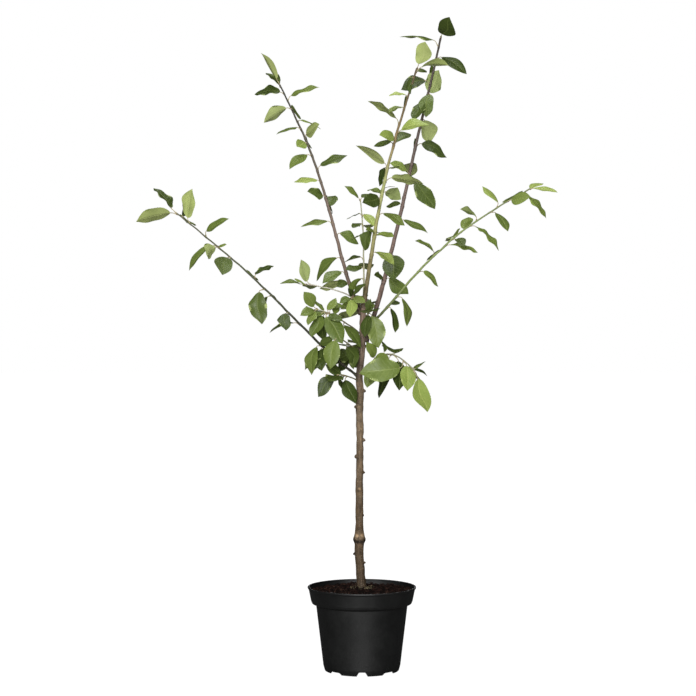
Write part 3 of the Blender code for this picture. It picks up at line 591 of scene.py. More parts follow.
# Noises by scale, detail and roughness, the shares of the coarse and the fine one in a mottled shade,
# and the share of the flow streaks in the pot's relief
FINE_NOISE = (4.7, 4.0, 0.6)
WANDER_NOISE = (3.0, 1.0)
STREAK_NOISE = (1.0, 5.0, 0.62)
COARSE_SHARE = 0.6
FINE_SHARE = 0.4
FLOW_RELIEF = 0.6


class Wiring:
    """Short calls that add nodes to one node tree."""

    def __init__(self, tree):
        self.tree = tree

    def put(self, socket, value):
        """Link an output to a socket, or set its value; a colour is three shares of light."""
        if isinstance(value, bpy.types.NodeSocket):
            self.tree.links.new(value, socket)
        else:
            socket.default_value = (*value, 1.0) if socket.type == "RGBA" else value

    def add(self, kind, settings=None, *values, **inputs):
        """A shader node with its settings, and values or links for its inputs in order or by name."""
        node = self.tree.nodes.new("ShaderNode" + kind)
        for key, value in (settings or {}).items():
            setattr(node, key, value)
        for socket, value in zip(node.inputs, values):
            self.put(socket, value)
        for key, value in inputs.items():
            self.put(node.inputs[key.replace("_", " ")], value)
        return node

    def math(self, operation, a, b=0.0, clamp=False):
        """One step of arithmetic."""
        return self.add("Math", {"operation": operation, "use_clamp": clamp}, a, b).outputs[0]

    def plus(self, a, b):
        """The sum of two values."""
        return self.math("ADD", a, b)

    def times(self, a, b):
        """The product of two values."""
        return self.math("MULTIPLY", a, b)

    def stretch(self, vector, factors):
        """A vector times a factor on each axis."""
        return self.add("VectorMath", {"operation": "MULTIPLY"}, vector, factors).outputs[0]

    def scale(self, vector, factor):
        """A vector times one factor."""
        return self.add("VectorMath", {"operation": "SCALE"}, vector, Scale=factor).outputs[0]

    def step(self, value, low, high, start=0.0, end=1.0):
        """A smooth step from start to end while the value goes from low to high."""
        node = self.add("MapRange", {"interpolation_type": "SMOOTHSTEP"}, Value=value,
                        From_Min=low, From_Max=high, To_Min=start, To_Max=end)
        return node.outputs["Result"]

    def noise(self, vector, scale=1.0, detail=3.0, roughness=0.55):
        """Soft noise from 0 to 1."""
        return self.add("TexNoise", Vector=vector, Scale=scale, Detail=detail,
                        Roughness=roughness).outputs["Fac"]

    def mix(self, factor, a, b):
        """A blend of two colours."""
        node = self.add("Mix", {"data_type": "RGBA"}, factor)
        self.put(node.inputs[6], a)
        self.put(node.inputs[7], b)
        return node.outputs[2]

    def group(self, tree, **inputs):
        """A shared effect with its inputs."""
        return self.add("Group", {"node_tree": tree}, **inputs).outputs


def new_group(name, inputs, outputs):
    """An empty node group: its tree, its wiring, and the sockets at both ends."""
    tree = bpy.data.node_groups.new(name, "ShaderNodeTree")
    for label, kind in inputs.items():
        tree.interface.new_socket(label, in_out="INPUT", socket_type="NodeSocket" + kind)
    for label in outputs:
        tree.interface.new_socket(label, in_out="OUTPUT", socket_type="NodeSocketFloat")
    given, result = (tree.nodes.new("NodeGroup" + end) for end in ("Input", "Output"))
    return tree, Wiring(tree), given.outputs, result.inputs


def sized_place(wire, given):
    """The place given to a group, divided by the size given to it."""
    return wire.scale(given["Place"], wire.math("DIVIDE", 1.0, given["Size"]))


def mottle_group():
    """Uneven colour: coarse and fine noise as a shade, and the fine noise as height."""
    tree, wire, given, result = new_group(
        "mottle", {"Place": "Vector", "Size": "Float"}, ("Shade", "Height"))
    place = sized_place(wire, given)
    fine = wire.noise(place, *FINE_NOISE)
    coarse = wire.noise(place, detail=2.0)
    wire.put(result["Shade"], wire.plus(wire.times(coarse, COARSE_SHARE), wire.times(fine, FINE_SHARE)))
    wire.put(result["Height"], fine)
    return tree


def vein_group():
    """Veins of a leaf from its own place: across from -1 to 1, along from 0 to 1, and a leaf number.

    The midrib is where across is near 0.  Side veins are where along * VEIN_PAIRS less
    VEIN_SWEEP * |across|^VEIN_CURVE is near a whole number, and they fade towards the margin.
    """
    tree, wire, given, result = new_group("leaf_veins", {"Place": "Vector"}, ("Veins", "Height", "Mottle"))
    place = given["Place"]
    parts = wire.add("SeparateXYZ", None, place).outputs
    side = wire.math("ABSOLUTE", parts["X"])
    curve = wire.times(wire.math("POWER", side, VEIN_CURVE), VEIN_SWEEP)
    phase = wire.math("SUBTRACT", wire.times(parts["Y"], VEIN_PAIRS), curve)
    phase = wire.plus(phase, wire.times(wire.noise(place, *WANDER_NOISE), VEIN_WANDER))
    away = wire.math("ABSOLUTE", wire.math("SUBTRACT", wire.math("FRACT", phase), 0.5))
    ribs = wire.times(wire.step(wire.times(away, 2.0), *RIB_BAND), wire.step(side, *RIB_FADE, 1.0, 0.0))
    midrib = wire.step(side, *MIDRIB_FADE, 1.0, 0.0)
    veins = wire.math("MAXIMUM", midrib, wire.times(ribs, RIB_SHARE), clamp=True)
    net = wire.noise(wire.stretch(place, NET_STRETCH), roughness=0.5)
    wire.put(result["Veins"], veins)
    wire.put(result["Height"], wire.math("SUBTRACT", wire.times(net, NET_SHARE), veins))
    wire.put(result["Mottle"], wire.noise(wire.stretch(place, LEAF_MOTTLE)))
    return tree


# Bark grain: stretch of the place round and along the limb for each noise, where pores start, size of
# the patches, and shares of streaks, pores and rings in the relief
STREAK_STRETCH = (2.2, 2.2, 0.35)
PORE_STRETCH = (0.9, 0.9, 4.6)
RING_STRETCH = (0.25, 0.25, 2.4)
PORE_BAND = (0.60, 0.69)
PATCH_SCALE = 0.35
GRAIN_SHARES = (0.5, 0.45, 0.35)


def bark_group():
    """Young plum bark from its straightened place: fine streaks along the limb, short pale pores
    across it, darker patches, and their relief."""
    tree, wire, given, result = new_group(
        "bark_grain", {"Place": "Vector", "Size": "Float"}, ("Streaks", "Pores", "Patches", "Height"))
    place = sized_place(wire, given)
    streaks = wire.noise(wire.stretch(place, STREAK_STRETCH), *STREAK_NOISE)
    pores = wire.step(wire.noise(wire.stretch(place, PORE_STRETCH), detail=2.0), *PORE_BAND)
    rings = wire.noise(wire.stretch(place, RING_STRETCH), detail=2.0)
    wire.put(result["Streaks"], streaks)
    wire.put(result["Pores"], pores)
    wire.put(result["Patches"], wire.noise(place, PATCH_SCALE))
    heights = [wire.times(part, share) for part, share in zip((streaks, pores, rings), GRAIN_SHARES)]
    wire.put(result["Height"], wire.plus(wire.plus(*heights[:2]), heights[2]))
    return tree


# Shares of a finish: greens by leaf and by mottling, veins, pores, and darkest and lightest bark
GREEN_SHARES = (0.7, 0.5)
GREEN_BAND = (0.15, 0.95)
VEIN_SHARE = 0.42
PORE_SHARE = 0.60
STREAK_SHADES = (-0.34, 0.28)
PATCH_SHADES = (-0.24, 0.20)
BARK_GLOSS = 0.35

# Bands of a noise over which a tone or a roughness goes from one end to the other
WIDE_BAND = (0.2, 0.8)
STREAK_BAND = (0.25, 0.75)
MIDDLE_BAND = (0.3, 0.7)
TONE_BAND = (0.35, 0.65)
DUST_BAND = (0.42, 0.72)
FLOW_BAND = (0.45, 0.75)

# How far the roughness of each skin strays from its middle
LEAF_STRAY = (-0.06, 0.10)
BARK_STRAY = (-0.10, 0.10)
PLAIN_STRAY = (-0.07, 0.07)
POT_STRAY = (-0.05, 0.05)

# Pot plastic: gloss, roughness, depth of the relief, size of the grain and of the dust, stretch and
# share of the flow streaks, and its tones
POT_GLOSS = 0.52
POT_ROUGHNESS = 0.52
POT_RELIEF = 0.00012
POT_GRAIN = 0.0016
POT_DUST = 0.035
FLOW_STRETCH = (90.0, 90.0, 4.0)
FLOW_SHARE = 0.25
POT_TONES = ((0.0022, 0.0024, 0.0023), (0.0038, 0.0041, 0.0039), (0.006, 0.0064, 0.0061))


def new_material(name, specular):
    """A material with an empty Principled shader, its wiring and the shader's inputs."""
    material = bpy.data.materials.new(name)
    material.use_nodes = True
    inputs = material.node_tree.nodes["Principled BSDF"].inputs
    inputs["Specular IOR Level"].default_value = specular
    return material, Wiring(material.node_tree), inputs


def dress(wire, inputs, base, uneven, band, roughness, stray, height, depth):
    """Feed a shader its colour, its roughness and the relief of its normal.

    The roughness goes from its middle plus the first stray to its middle plus the second one while
    the uneven value crosses its band.
    """
    wire.put(inputs["Base Color"], base)
    wire.put(inputs["Roughness"], wire.step(uneven, *band, *(roughness + part for part in stray)))
    bump = wire.add("Bump", Height=height, Distance=depth)
    wire.put(inputs["Normal"], bump.outputs["Normal"])


def own_place(wire, label="place"):
    """The vector that each point of a piece keeps."""
    return wire.add("Attribute", {"attribute_name": label}).outputs["Vector"]


def leaf_finish(name, groups, deep, bright, vein, roughness, depth, specular):
    """Leaf skin: two greens mixed by leaf and by mottling, paler veins and their relief."""
    material, wire, inputs = new_material(name, specular)
    place = own_place(wire)
    veins = wire.group(groups["veins"], Place=place)
    number = wire.add("SeparateXYZ", None, place).outputs["Z"]
    by_leaf, by_mottle = (wire.times(*pair) for pair in zip((number, veins["Mottle"]), GREEN_SHARES))
    green = wire.mix(wire.step(wire.plus(by_leaf, by_mottle), *GREEN_BAND), deep, bright)
    dress(wire, inputs, wire.mix(wire.times(veins["Veins"], VEIN_SHARE), green, vein), veins["Mottle"],
          WIDE_BAND, roughness, LEAF_STRAY, veins["Height"], depth)
    return material


def bark_finish(name, groups, size, roughness, depth, pore, contrast=1.0):
    """Bark in the limb's own tints, with streaks, pores and patches."""
    material, wire, inputs = new_material(name, BARK_GLOSS)
    grain = wire.group(groups["bark"], Place=own_place(wire), Size=size)
    tint = own_place(wire, "tint")
    streaks = wire.step(grain["Streaks"], *STREAK_BAND, *(1 + shade * contrast for shade in STREAK_SHADES))
    patches = wire.step(grain["Patches"], *MIDDLE_BAND, *(1 + shade * contrast for shade in PATCH_SHADES))
    skin = wire.scale(tint, wire.times(streaks, patches))
    dress(wire, inputs, wire.mix(wire.times(grain["Pores"], PORE_SHARE * contrast), skin, pore),
          grain["Streaks"], WIDE_BAND, roughness, BARK_STRAY, grain["Height"], depth)
    return material


def plain_finish(name, groups, deep, bright, size, roughness, depth, specular, label=None):
    """A finish of two mottled tones, on Object coordinates or on the piece's own place."""
    material, wire, inputs = new_material(name, specular)
    place = own_place(wire, label) if label else wire.add("TexCoord").outputs["Object"]
    spots = wire.group(groups["mottle"], Place=place, Size=size)
    dress(wire, inputs, wire.mix(wire.step(spots["Shade"], *TONE_BAND), deep, bright), spots["Shade"],
          MIDDLE_BAND, roughness, PLAIN_STRAY, spots["Height"], depth)
    return material


def pot_finish(groups):
    """Black moulded plastic: fine grain, faint flow streaks down the wall and a little dust."""
    material, wire, inputs = new_material("pot_plastic", POT_GLOSS)
    place = wire.add("TexCoord").outputs["Object"]
    grain, dust = (wire.group(groups["mottle"], Place=place, Size=size) for size in (POT_GRAIN, POT_DUST))
    streaks = wire.noise(wire.stretch(place, FLOW_STRETCH), detail=2.0)
    deep, dusty, streaky = POT_TONES
    base = wire.mix(wire.step(dust["Shade"], *DUST_BAND), deep, dusty)
    base = wire.mix(wire.step(streaks, *FLOW_BAND, 0.0, FLOW_SHARE), base, streaky)
    height = wire.plus(grain["Height"], wire.times(streaks, FLOW_RELIEF))
    dress(wire, inputs, base, dust["Shade"], MIDDLE_BAND, POT_ROUGHNESS, POT_STRAY, height, POT_RELIEF)
    return material


# Trunk and boughs

def softened(values, spread):
    """Values along a line smoothed by a rounded window, with the ends kept."""
    window = np.hanning(2 * spread + 3)[1:-1]
    padded = np.pad(values, spread, mode="edge")
    return np.convolve(padded, window / window.sum(), mode="valid")


def trunk_line():
    """Fine centres and radii of the trunk from its foot to the fork."""
    rows = np.array(TRUNK_STATIONS_MM) / 1000
    height = np.arange(TRUNK_START, rows[-1, 0] + BARK_STEP, BARK_STEP)
    lean_x, lean_y, diameter = between(height, rows[:, 0], rows[:, 1:]).T
    centres = (softened(lean_x, LEAN_SPREAD), softened(lean_y, LEAN_SPREAD), height + MOUND_HEIGHT + GAP)
    return np.column_stack(centres), softened(diameter / 2, RADIUS_SPREAD)


def trunk_at(height):
    """Centre and radius of the trunk at a height above the mound."""
    centres, radii = trunk_line()
    known = centres[:, 2] - MOUND_HEIGHT - GAP
    return between(height, known, centres), np.interp(height, known, radii)


def limb_radius(limb, share):
    """Radius of a limb at a share of its whole length; the taper is straight."""
    root, tip = limb["diameter_mm"]
    return (root + (tip - root) * np.asarray(share)) / 2000


def limb_line(limb, first, last, step):
    """Fine centres, radii and distances of a limb between two shares of its length."""
    share = np.linspace(first, last, max(LEAST_RINGS, int((last - first) * limb["length"] / step)))
    return along(limb_path(limb), share), limb_radius(limb, share), share * limb["length"]


def knob_parts():
    """Blunt points where old buds were rubbed off.

    Rings about a line that runs out from the trunk: radius = half size * (1 - step^1.6)^0.7, and the
    line sinks a little below its root towards the tip.
    """
    step = np.linspace(0, KNOB_END, KNOB_STEPS)
    parts = []
    for place, bearing, size in np.array(TRUNK_KNOBS_MM) / (1000, 1, 1000):
        centre, radius = trunk_at(place)
        reach = radius * KNOB_ROOT + step * (radius * (1 - KNOB_ROOT) + size * KNOB_REACH)
        sag = np.outer(step ** 2 * size * KNOB_SAG, (0, 0, 1))
        line = centre + reach[:, None] * heading(bearing, 0) - sag
        rings = sweep(line, size / 2 * (1 - step ** 1.6) ** 0.7, KNOB_SIDES, guide=KNOB_GUIDE)
        parts.append(close_rings((rings - line[:, None]) * (1.0, 1.0, KNOB_TALL) + line[:, None]))
    return parts


# Colour of the trunk by height above the mound in millimetres, and of each limb from root to tip.  The dark
# dip from 430 to 455 mm on the trunk is painted shadow, where the leaves above shade it.
TRUNK_TINTS = (
    (0, 0.039, 0.024, 0.011), (40, 0.058, 0.035, 0.016), (62, 0.069, 0.043, 0.021),
    (84, 0.065, 0.040, 0.020), (92, 0.047, 0.027, 0.014), (97, 0.030, 0.017, 0.008),
    (101, 0.089, 0.056, 0.028), (106, 0.179, 0.121, 0.069), (113, 0.131, 0.085, 0.045),
    (122, 0.068, 0.042, 0.020), (195, 0.097, 0.063, 0.033), (213, 0.108, 0.070, 0.038),
    # From 430 to 455 mm the tints are painted shadow of the leaves above
    (300, 0.138, 0.094, 0.054), (380, 0.144, 0.101, 0.061), (430, 0.102, 0.068, 0.042),
    (440, 0.063, 0.040, 0.025), (455, 0.102, 0.070, 0.050), (520, 0.149, 0.104, 0.079),
    (592, 0.149, 0.102, 0.077),
)

# Marks on the trunk: height above the mound, bearing round the trunk and reach in millimetres, and how
# much lighter or darker than the bark they are
TRUNK_MARKS_MM = (
    (98, 204, 6.0, 0.05), (98, 336, 6.0, 0.05), (95, 250, 2.6, 0.30), (96, 290, 2.6, 0.30),
    (104, 262, 1.8, 0.30), (106, 284, 1.8, 0.35), (108, 240, 3.0, 2.5), (109, 300, 3.0, 2.5),
    (90, 272, 3.4, 1.6), (84, 262, 1.6, 1.9), (86, 290, 1.6, 1.9), (128, 262, 1.6, 1.9),
    (133, 286, 1.4, 2.0), (137, 268, 1.4, 1.9), (201, 255, 3.2, 0.40), (205, 258, 2.8, 2.3),
    (205, 280, 2.4, 2.0), (260, 290, 1.6, 1.6), (282, 262, 1.4, 1.5), (327, 262, 1.6, 2.0),
    (330, 280, 1.6, 2.0), (329, 296, 1.2, 1.8), (345, 250, 2.6, 0.60), (376, 258, 2.6, 2.0),
    (379, 280, 2.2, 0.45), (390, 262, 1.8, 1.6), (396, 285, 2.2, 0.50), (240, 250, 1.6, 0.55),
    (62, 300, 1.8, 0.45), (40, 262, 2.0, 0.50),
)
# Knob marks: lift, reach (shares of knob size), factor; the dark one below is painted shadow under the knob
KNOB_MARKS_AND_SHADOWS = ((0.0, 0.50, 0.55), (-0.6, 0.55, 0.25), (0.7, 0.35, 1.60))
LIMB_TINTS = {
    "bough_leader": ((0.120, 0.088, 0.046), (0.200, 0.170, 0.070), (0.300, 0.290, 0.110),
                     (0.340, 0.360, 0.140), (0.250, 0.180, 0.085), (0.150, 0.105, 0.052),
                     (0.100, 0.078, 0.042)),
    "bough_left_low": ((0.018, 0.018, 0.011), (0.036, 0.040, 0.022), (0.075, 0.085, 0.045),
                       (0.090, 0.092, 0.052)),
    "bough_left_upper": ((0.090, 0.060, 0.045), (0.150, 0.105, 0.082), (0.066, 0.056, 0.038),
                         (0.024, 0.026, 0.016)),
    "bough_right_upper": ((0.050, 0.032, 0.026), (0.165, 0.108, 0.090), (0.155, 0.110, 0.095),
                          (0.080, 0.062, 0.052), (0.048, 0.040, 0.032)),
    "bough_right_low": ((0.060, 0.065, 0.028), (0.190, 0.240, 0.075), (0.200, 0.250, 0.085),
                        (0.130, 0.150, 0.060)),
    "foliage_inner_twig": ((0.250, 0.230, 0.130), (0.300, 0.300, 0.190), (0.280, 0.290, 0.180)),
    "foliage_left_spur": ((0.200, 0.170, 0.130), (0.420, 0.400, 0.330), (0.380, 0.360, 0.290)),
}
SPUR_TINT = ((0.090, 0.070, 0.045), (0.150, 0.140, 0.080), (0.200, 0.210, 0.110))


def limb_tint(name, share):
    """Colours along a limb, read between its evenly spaced tints."""
    tints = LIMB_TINTS.get(name, SPUR_TINT)
    return between(share, np.linspace(0, 1, len(tints)), tints)


def trunk_tint(height):
    """Colours up the trunk, with the painted shadow under the leaves, read between its tints."""
    rows = np.array(TRUNK_TINTS)
    return between(height, rows[:, 0] / 1000, rows[:, 1:])


def mark_and_shadow_shade(points):
    """Shade of the bark's marks and of the painted shadow under each knob: each factor fades by
    exp(-(distance / reach)^2) from its middle.
    """
    marks = list(TRUNK_MARKS_MM)
    for place, bearing, size in TRUNK_KNOBS_MM:
        marks += [(place + lift * size, bearing, reach * size, factor) for lift, reach, factor in KNOB_MARKS_AND_SHADOWS]
    shade = np.ones(len(points))
    for place, bearing, reach, factor in np.array(marks) / (1000, 1, 1000, 1):
        centre, radius = trunk_at(place)
        away = np.linalg.norm(points - (centre + heading(bearing, 0) * radius), axis=1) / reach
        shade *= 1 + (factor - 1) * np.exp(-away ** 2)
    return shade


def build_bark(material):
    """Trunk and bare boughs as one skin.

    Fine tubes are joined by a voxel skin and smoothed, and every point is then moved along its normal
    by ripples read in the straightened place of the limb that it is nearest to.
    """
    rng = random.Random(SEED)
    centres, radii = trunk_line()
    height = centres[:, 2] - MOUND_HEIGHT
    lines = [(centres, radii, height, trunk_tint(height))]
    for name, limb in BOUGHS.items():
        path, radius, distance = limb_line(limb, 0.0, limb["bare"], BARK_STEP)
        radius = radius * (1 + COLLAR_SWELL * np.exp(-distance / COLLAR_LENGTH))
        lines.append((path, radius, distance, limb_tint(name, distance / limb["length"])))
    parts = [close_rings(sweep(path, radius, BARK_SIDES)) for path, radius, _, _ in lines]
    mesh = mesh_of("bark_parts", parts + knob_parts())
    mesh = applied(mesh, ("REMESH", dict(mode="VOXEL", voxel_size=BARK_VOXEL, adaptivity=0.0)),
                   ("SMOOTH", dict(factor=0.5, iterations=2)))
    points, normals = readings(mesh.vertices, "co"), readings(mesh.vertices, "normal")
    place, tint = nearest_places(points, lines)
    lift = ripples(place, BARK_RELIEF, rng)
    mesh.vertices.foreach_set("co", (points + normals * lift[:, None]).astype(np.float32).ravel())
    mesh.update()
    store(mesh, "place", place)
    # Bark marks, painted shadows under the knobs, and uneven tone
    shade = mark_and_shadow_shade(points) * ripples(place, BARK_SHADES, rng, start=1.0)
    store(mesh, "tint", tint * shade[:, None])
    make_piece("trunk_and_boughs_bark", mesh, [material], ["trunk", *BOUGHS], crisp=80)


def nearest_places(points, lines):
    """Straightened place and colour of points, from the limb whose skin is nearest to each.

    The colour is a mean of the limbs' colours, weighted by exp(-(distance - least distance) / blend).
    """
    depths, places, tints = [], [], []
    for path, radius, distance, tint in lines:
        tangents, side, other = path_frame(path)
        found = np.concatenate([np.argmin(np.linalg.norm(block[:, None] - path, axis=-1), axis=1)
                                for block in np.array_split(points, POINT_BLOCKS)])
        offset = points - path[found]
        depths.append(np.linalg.norm(offset, axis=1) - radius[found])
        flat = [np.sum(offset * axis[found], axis=1) for axis in (side, other, tangents)]
        places.append(np.column_stack((flat[0], flat[1], flat[2] + distance[found])))
        tints.append(tint[found])
    depths, places, tints = np.array(depths), np.array(places), np.array(tints)
    weights = np.exp(-(depths - depths.min(axis=0)) / TINT_BLEND)[..., None]
    own = places[np.argmin(depths, axis=0), np.arange(len(points))]
    return own, (tints * weights).sum(axis=0) / weights.sum(axis=0)


# Leafy shoots

def front_heading(bearing, toward):
    """Direction read in the front view: bearing in the X-Z plane, leaning towards the front."""
    b, t = math.radians(bearing), math.radians(toward)
    return np.array((math.cos(b) * math.cos(t), -math.sin(t), math.sin(b) * math.cos(t)))


def upper_side(chord, bearing, face):
    """Normal of the leaf's upper side: face 0 looks to the front, 90 to the sky, 180 to the back."""
    front = upright(np.array((0.0, -1.0, 0.0)), chord)
    across = np.cross(front, chord)
    turn = math.radians(face) * (1 if math.cos(math.radians(bearing)) >= 0 else -1)
    return math.cos(turn) * front + math.sin(turn) * across


def drawn(rng, ranges):
    """A seeded draw from each named range."""
    return {key: rng.uniform(*limits) for key, limits in ranges.items()}


def hidden_guide(path, share, aim, stray):
    """Way that a hidden leaf's upper side looks: the sky, or sideways where it keeps behind its limb."""
    if stray > BEHIND_STRAY:
        return np.array((0.0, 0.0, 1.0))
    across = np.cross(direction(path, share), aim)
    return across * math.copysign(1.0, across[2])


def leaf_rows(name, path, rng):
    """Every leaf of one mass as (share, heading, span, upper side, habit), shown ones first."""
    leaves = []
    for share, bearing, span, toward, face in LEAVES[name]:
        aim = front_heading(bearing, toward)
        leaves.append((share, aim, span / 1000, upper_side(aim, bearing, face),
                       drawn(rng, LEAF_HABITS)))
    count, favoured, stray = HIDDEN_LEAVES[name]
    for k in range(count):
        share = HIDDEN_FIRST + (1 - HIDDEN_FIRST) * (k + rng.uniform(*HIDDEN_PLACE)) / count
        azimuth = favoured + rng.uniform(-stray, stray)
        aim = heading(azimuth, rng.uniform(-stray * DROOP_SHARE, stray * LIFT_SHARE))
        upper = upright(hidden_guide(path, share, aim, stray), aim)
        roll = math.radians(rng.uniform(-stray, stray) * ROLL_SHARE)
        upper = math.cos(roll) * upper + math.sin(roll) * np.cross(aim, upper)
        span = rng.uniform(*HIDDEN_SPAN_MM) / 1000
        leaves.append((share, aim, span, upper, drawn(rng, LEAF_HABITS)))
    return leaves


def blade_width(step):
    """Half width of the blade at a step from base to tip, as a share of the widest."""
    return np.sin(math.pi * step ** BLADE_FRONT) ** (BLADE_BLUNT + BLADE_POINT * step)


def blade_part(base, chord, upper, length, habit, shape, finish, number):
    """Closed blade: rings that run across the upper face and back along the lower face.

    The midrib is an arc that turns through the arch angle.  At a step s the half width is
    blade_width(s) * length * wide / 2, with small teeth.  A point at u from -1 to 1 stands
    u * half * cos(fold) to the side and |u|^1.3 * half * sin(fold) up, plus a wave at the margin.
    """
    steps = np.linspace(0, 1, BLADE_ROWS + 1)[:-1, None]
    bend = math.radians(habit["arch"])
    angle = bend * (steps - 0.5)
    spine = (np.sin(angle) + math.sin(bend / 2)) / bend * chord
    spine = base + length * (spine + (np.cos(angle) - math.cos(bend / 2)) / bend * upper)
    tangent = np.cos(angle) * chord - np.sin(angle) * upper
    lift = np.cos(angle) * upper + np.sin(angle) * chord
    side = np.cross(tangent, lift)
    turn = np.radians(habit["twist"]) * steps
    across, lift = np.cos(turn) * side + np.sin(turn) * lift, np.cos(turn) * lift - np.sin(turn) * side
    top = np.array(BLADE_ACROSS)
    u = np.concatenate((top, top[-2:0:-1]))[None, :]
    teeth = 1 + TOOTH * np.where(np.arange(BLADE_ROWS) % 2, 1, -1)[:, None] * (steps > TOOTH_START)
    cycle = shape["waves"] * steps + shape["phase"]
    uneven = 1 + MARGIN_SWAY * shape["wave"] * np.sin(2 * math.pi * (cycle + MARGIN_OFFSET * np.sign(u)))
    half = blade_width(steps) * length * habit["wide"] * WIDEN / 2 * teeth * uneven
    half = np.maximum(half, STALK_RADII[1])
    fold = math.radians(habit["fold"])
    wave = shape["wave"] * np.sin(2 * math.pi * cycle) * u ** 2 * np.sign(u)
    rise = half * (np.abs(u) ** BLADE_CREASE * math.sin(fold) + wave - shape["curl"] * np.abs(u) ** 3)
    sway = shape["sway"] * np.sin(math.pi * steps) * np.sin(math.pi * steps + SWAY_LEAD)
    spine = spine + across * (length * sway)
    below = np.concatenate((np.zeros(len(top)), np.full(len(top) - 2, BLADE_THICK)))
    middle = len(top) // 2
    below[[middle, len(top) + middle - 1]] = RIB_GROOVE, RIB_THICK
    rings = spine[:, None] + across[:, None] * (u * half * math.cos(fold))[..., None]
    rings = rings + lift[:, None] * (rise - below * (1 - BLADE_THINNING * steps))[..., None]
    part = close_rings(rings, tip=base + length * chord, finish=np.repeat(finish, len(top) - 1))
    place = np.stack(np.broadcast_arrays(u, steps, number), axis=-1).reshape(-1, 3)
    part["place"] = np.vstack((place, (0.0, 1.0, number)))
    return part


def stalk_part(root, stem, base, chord, number):
    """Leaf stalk: a thin tapering tube on a curve that leaves the shoot and ends along the blade."""
    step = np.linspace(0, 1, STALK_STEPS)[:, None]
    reach = np.linalg.norm(base - root)
    guides = (root, root + stem * reach * STALK_LEAVE, base - chord * reach * STALK_MEET,
              base + chord * reach * STALK_OVERLAP)
    weights = ((1 - step) ** 3, 3 * step * (1 - step) ** 2, 3 * step ** 2 * (1 - step), step ** 3)
    path = sum(weight * guide for weight, guide in zip(weights, guides))
    thick, thin = STALK_RADII
    radii = np.interp(step[:, 0], STALK_PLACES, (thick * STALK_FOOT, thick, thin, thin))
    rings = sweep(path, radii, STALK_SIDES, guide=unit(np.cross(chord, STALK_GUIDE)))
    part = close_rings(rings, finish=STALK_FINISH)
    part["place"] = straight_place(step[:, 0] * reach, radii, STALK_SIDES) + (0, 0, number)
    return part


# Leaf finishes by number: three upper greens, two undersides and the stalk
UPPER_DEEP, UPPER_MID, UPPER_FRESH, UNDER_PALE, UNDER_FRESH, STALK_FINISH = range(6)

# Green of every shown leaf, in the order of its rows: d deep, m middle, f fresh.  The letters were matched
# to how light or dark each leaf shows, so they are partly each leaf's own green and partly painted light and
# shade.
LEAF_GREENS = {
    "foliage_left_low": "dddmdddddddmmmfdfd", "foliage_left_upper": "fdmmmmddfdmffmfdmdddf",
    "foliage_leader": "ffdmdmdmmdfdfdddfffmfdddff", "foliage_right_upper": "dmdmdfdmdmdmmdddd",
    "foliage_right_low": "ddmfmfdmfmmfmfff", "foliage_inner_twig": "mddmdfdmd", "foliage_left_spur": "mfm",
    "foliage_left_cluster": "mmmmmmmdmmdmm", "foliage_low_cluster": "ddmmdd", "foliage_low_spur": "ddddm",
    "foliage_right_spur": "mdmdmdmfmdf", "foliage_front_cluster": "mdmd", "foliage_fork_cluster": "mdmfmd",
    "foliage_back_low": "dd", "foliage_back_high": "",
}
GREEN_FINISHES = {"d": (UPPER_DEEP, UNDER_PALE), "m": (UPPER_MID, UNDER_PALE),
                  "f": (UPPER_FRESH, UNDER_FRESH)}
HIDDEN_GREENS = "dmmd"


def leaf_parts(path, share, leaf, finish, look):
    """Stalk and blade of one leaf, from its root on the shoot to its tip."""
    _, aim, span, upper, habit = leaf
    root = along(path, share)
    stem = unit(STALK_LIFT * direction(path, share) + aim)
    base = root + stem * STALK_SHARE * span * habit["stalk"]
    chord = root + aim * span - base
    length = np.linalg.norm(chord)
    chord = chord / length
    number, shape = look.random(), drawn(look, LEAF_SHAPES)
    return [stalk_part(root, stem, base, chord, number),
            blade_part(base, chord, upright(upper, chord), length, habit, shape, finish, number)]


def bud_part(path, share, radius, aim):
    """Bud in a leaf's axil, pointing up along the shoot: an egg of rings whose radius is
    BUD_RADIUS * sin(pi * (0.12 + 0.8 * step^0.8))^0.8."""
    way = direction(path, share)
    out = upright(aim, way)
    lean = unit(way + BUD_SPREAD * out)
    root = along(path, share) + out * radius * BUD_SINK + way * BUD_RISE
    step = np.linspace(0, 1, BUD_STEPS)
    line = root + np.outer(step * BUD_LENGTH, lean)
    radii = BUD_RADIUS * np.sin(math.pi * (0.12 + 0.80 * step ** 0.8)) ** 0.8
    rings = sweep(line, radii, BUD_SIDES, guide=unit(np.cross(way, out) + BUD_GUIDE * way))
    part = close_rings(rings, tip=line[-1] + lean * BUD_TIP, finish=1)
    place = straight_place(step * BUD_LENGTH, radii, BUD_SIDES)
    part["place"] = np.vstack((place, place[-1:]))
    part["tint"] = np.broadcast_to(BUD_TINT, part["place"].shape)
    return part


def shoot_part(key, limb, first, shares, rng):
    """Leafy stretch of a limb: a fine tube that swells at every leaf root and tapers to its tip."""
    share = np.linspace(first, 1.0, int((1 - first) * limb["length"] / RING_STEP))
    path = along(limb_path(limb), share)
    gaps = (share[:, None] - np.array(shares)[None, :]) * limb["length"] / NODE_LENGTH
    swell = NODE_SWELL * np.exp(-gaps ** 2).max(axis=1)
    radii = limb_radius(limb, share) * (1 + swell)
    end = np.clip((1.0 - share) * limb["length"] / SHOOT_END, SHOOT_END_SHARE, 1.0)
    wander = np.column_stack([ripple(path, *WANDER_WAVES, rng) for _ in range(3)]) * SHOOT_WANDER
    part = close_rings(sweep(path + wander, radii * np.sqrt(end), SHOOT_SIDES))
    part["place"] = straight_place(share * limb["length"], radii, SHOOT_SIDES)
    part["tint"] = np.repeat(limb_tint(key, share), SHOOT_SIDES, axis=0)
    return part


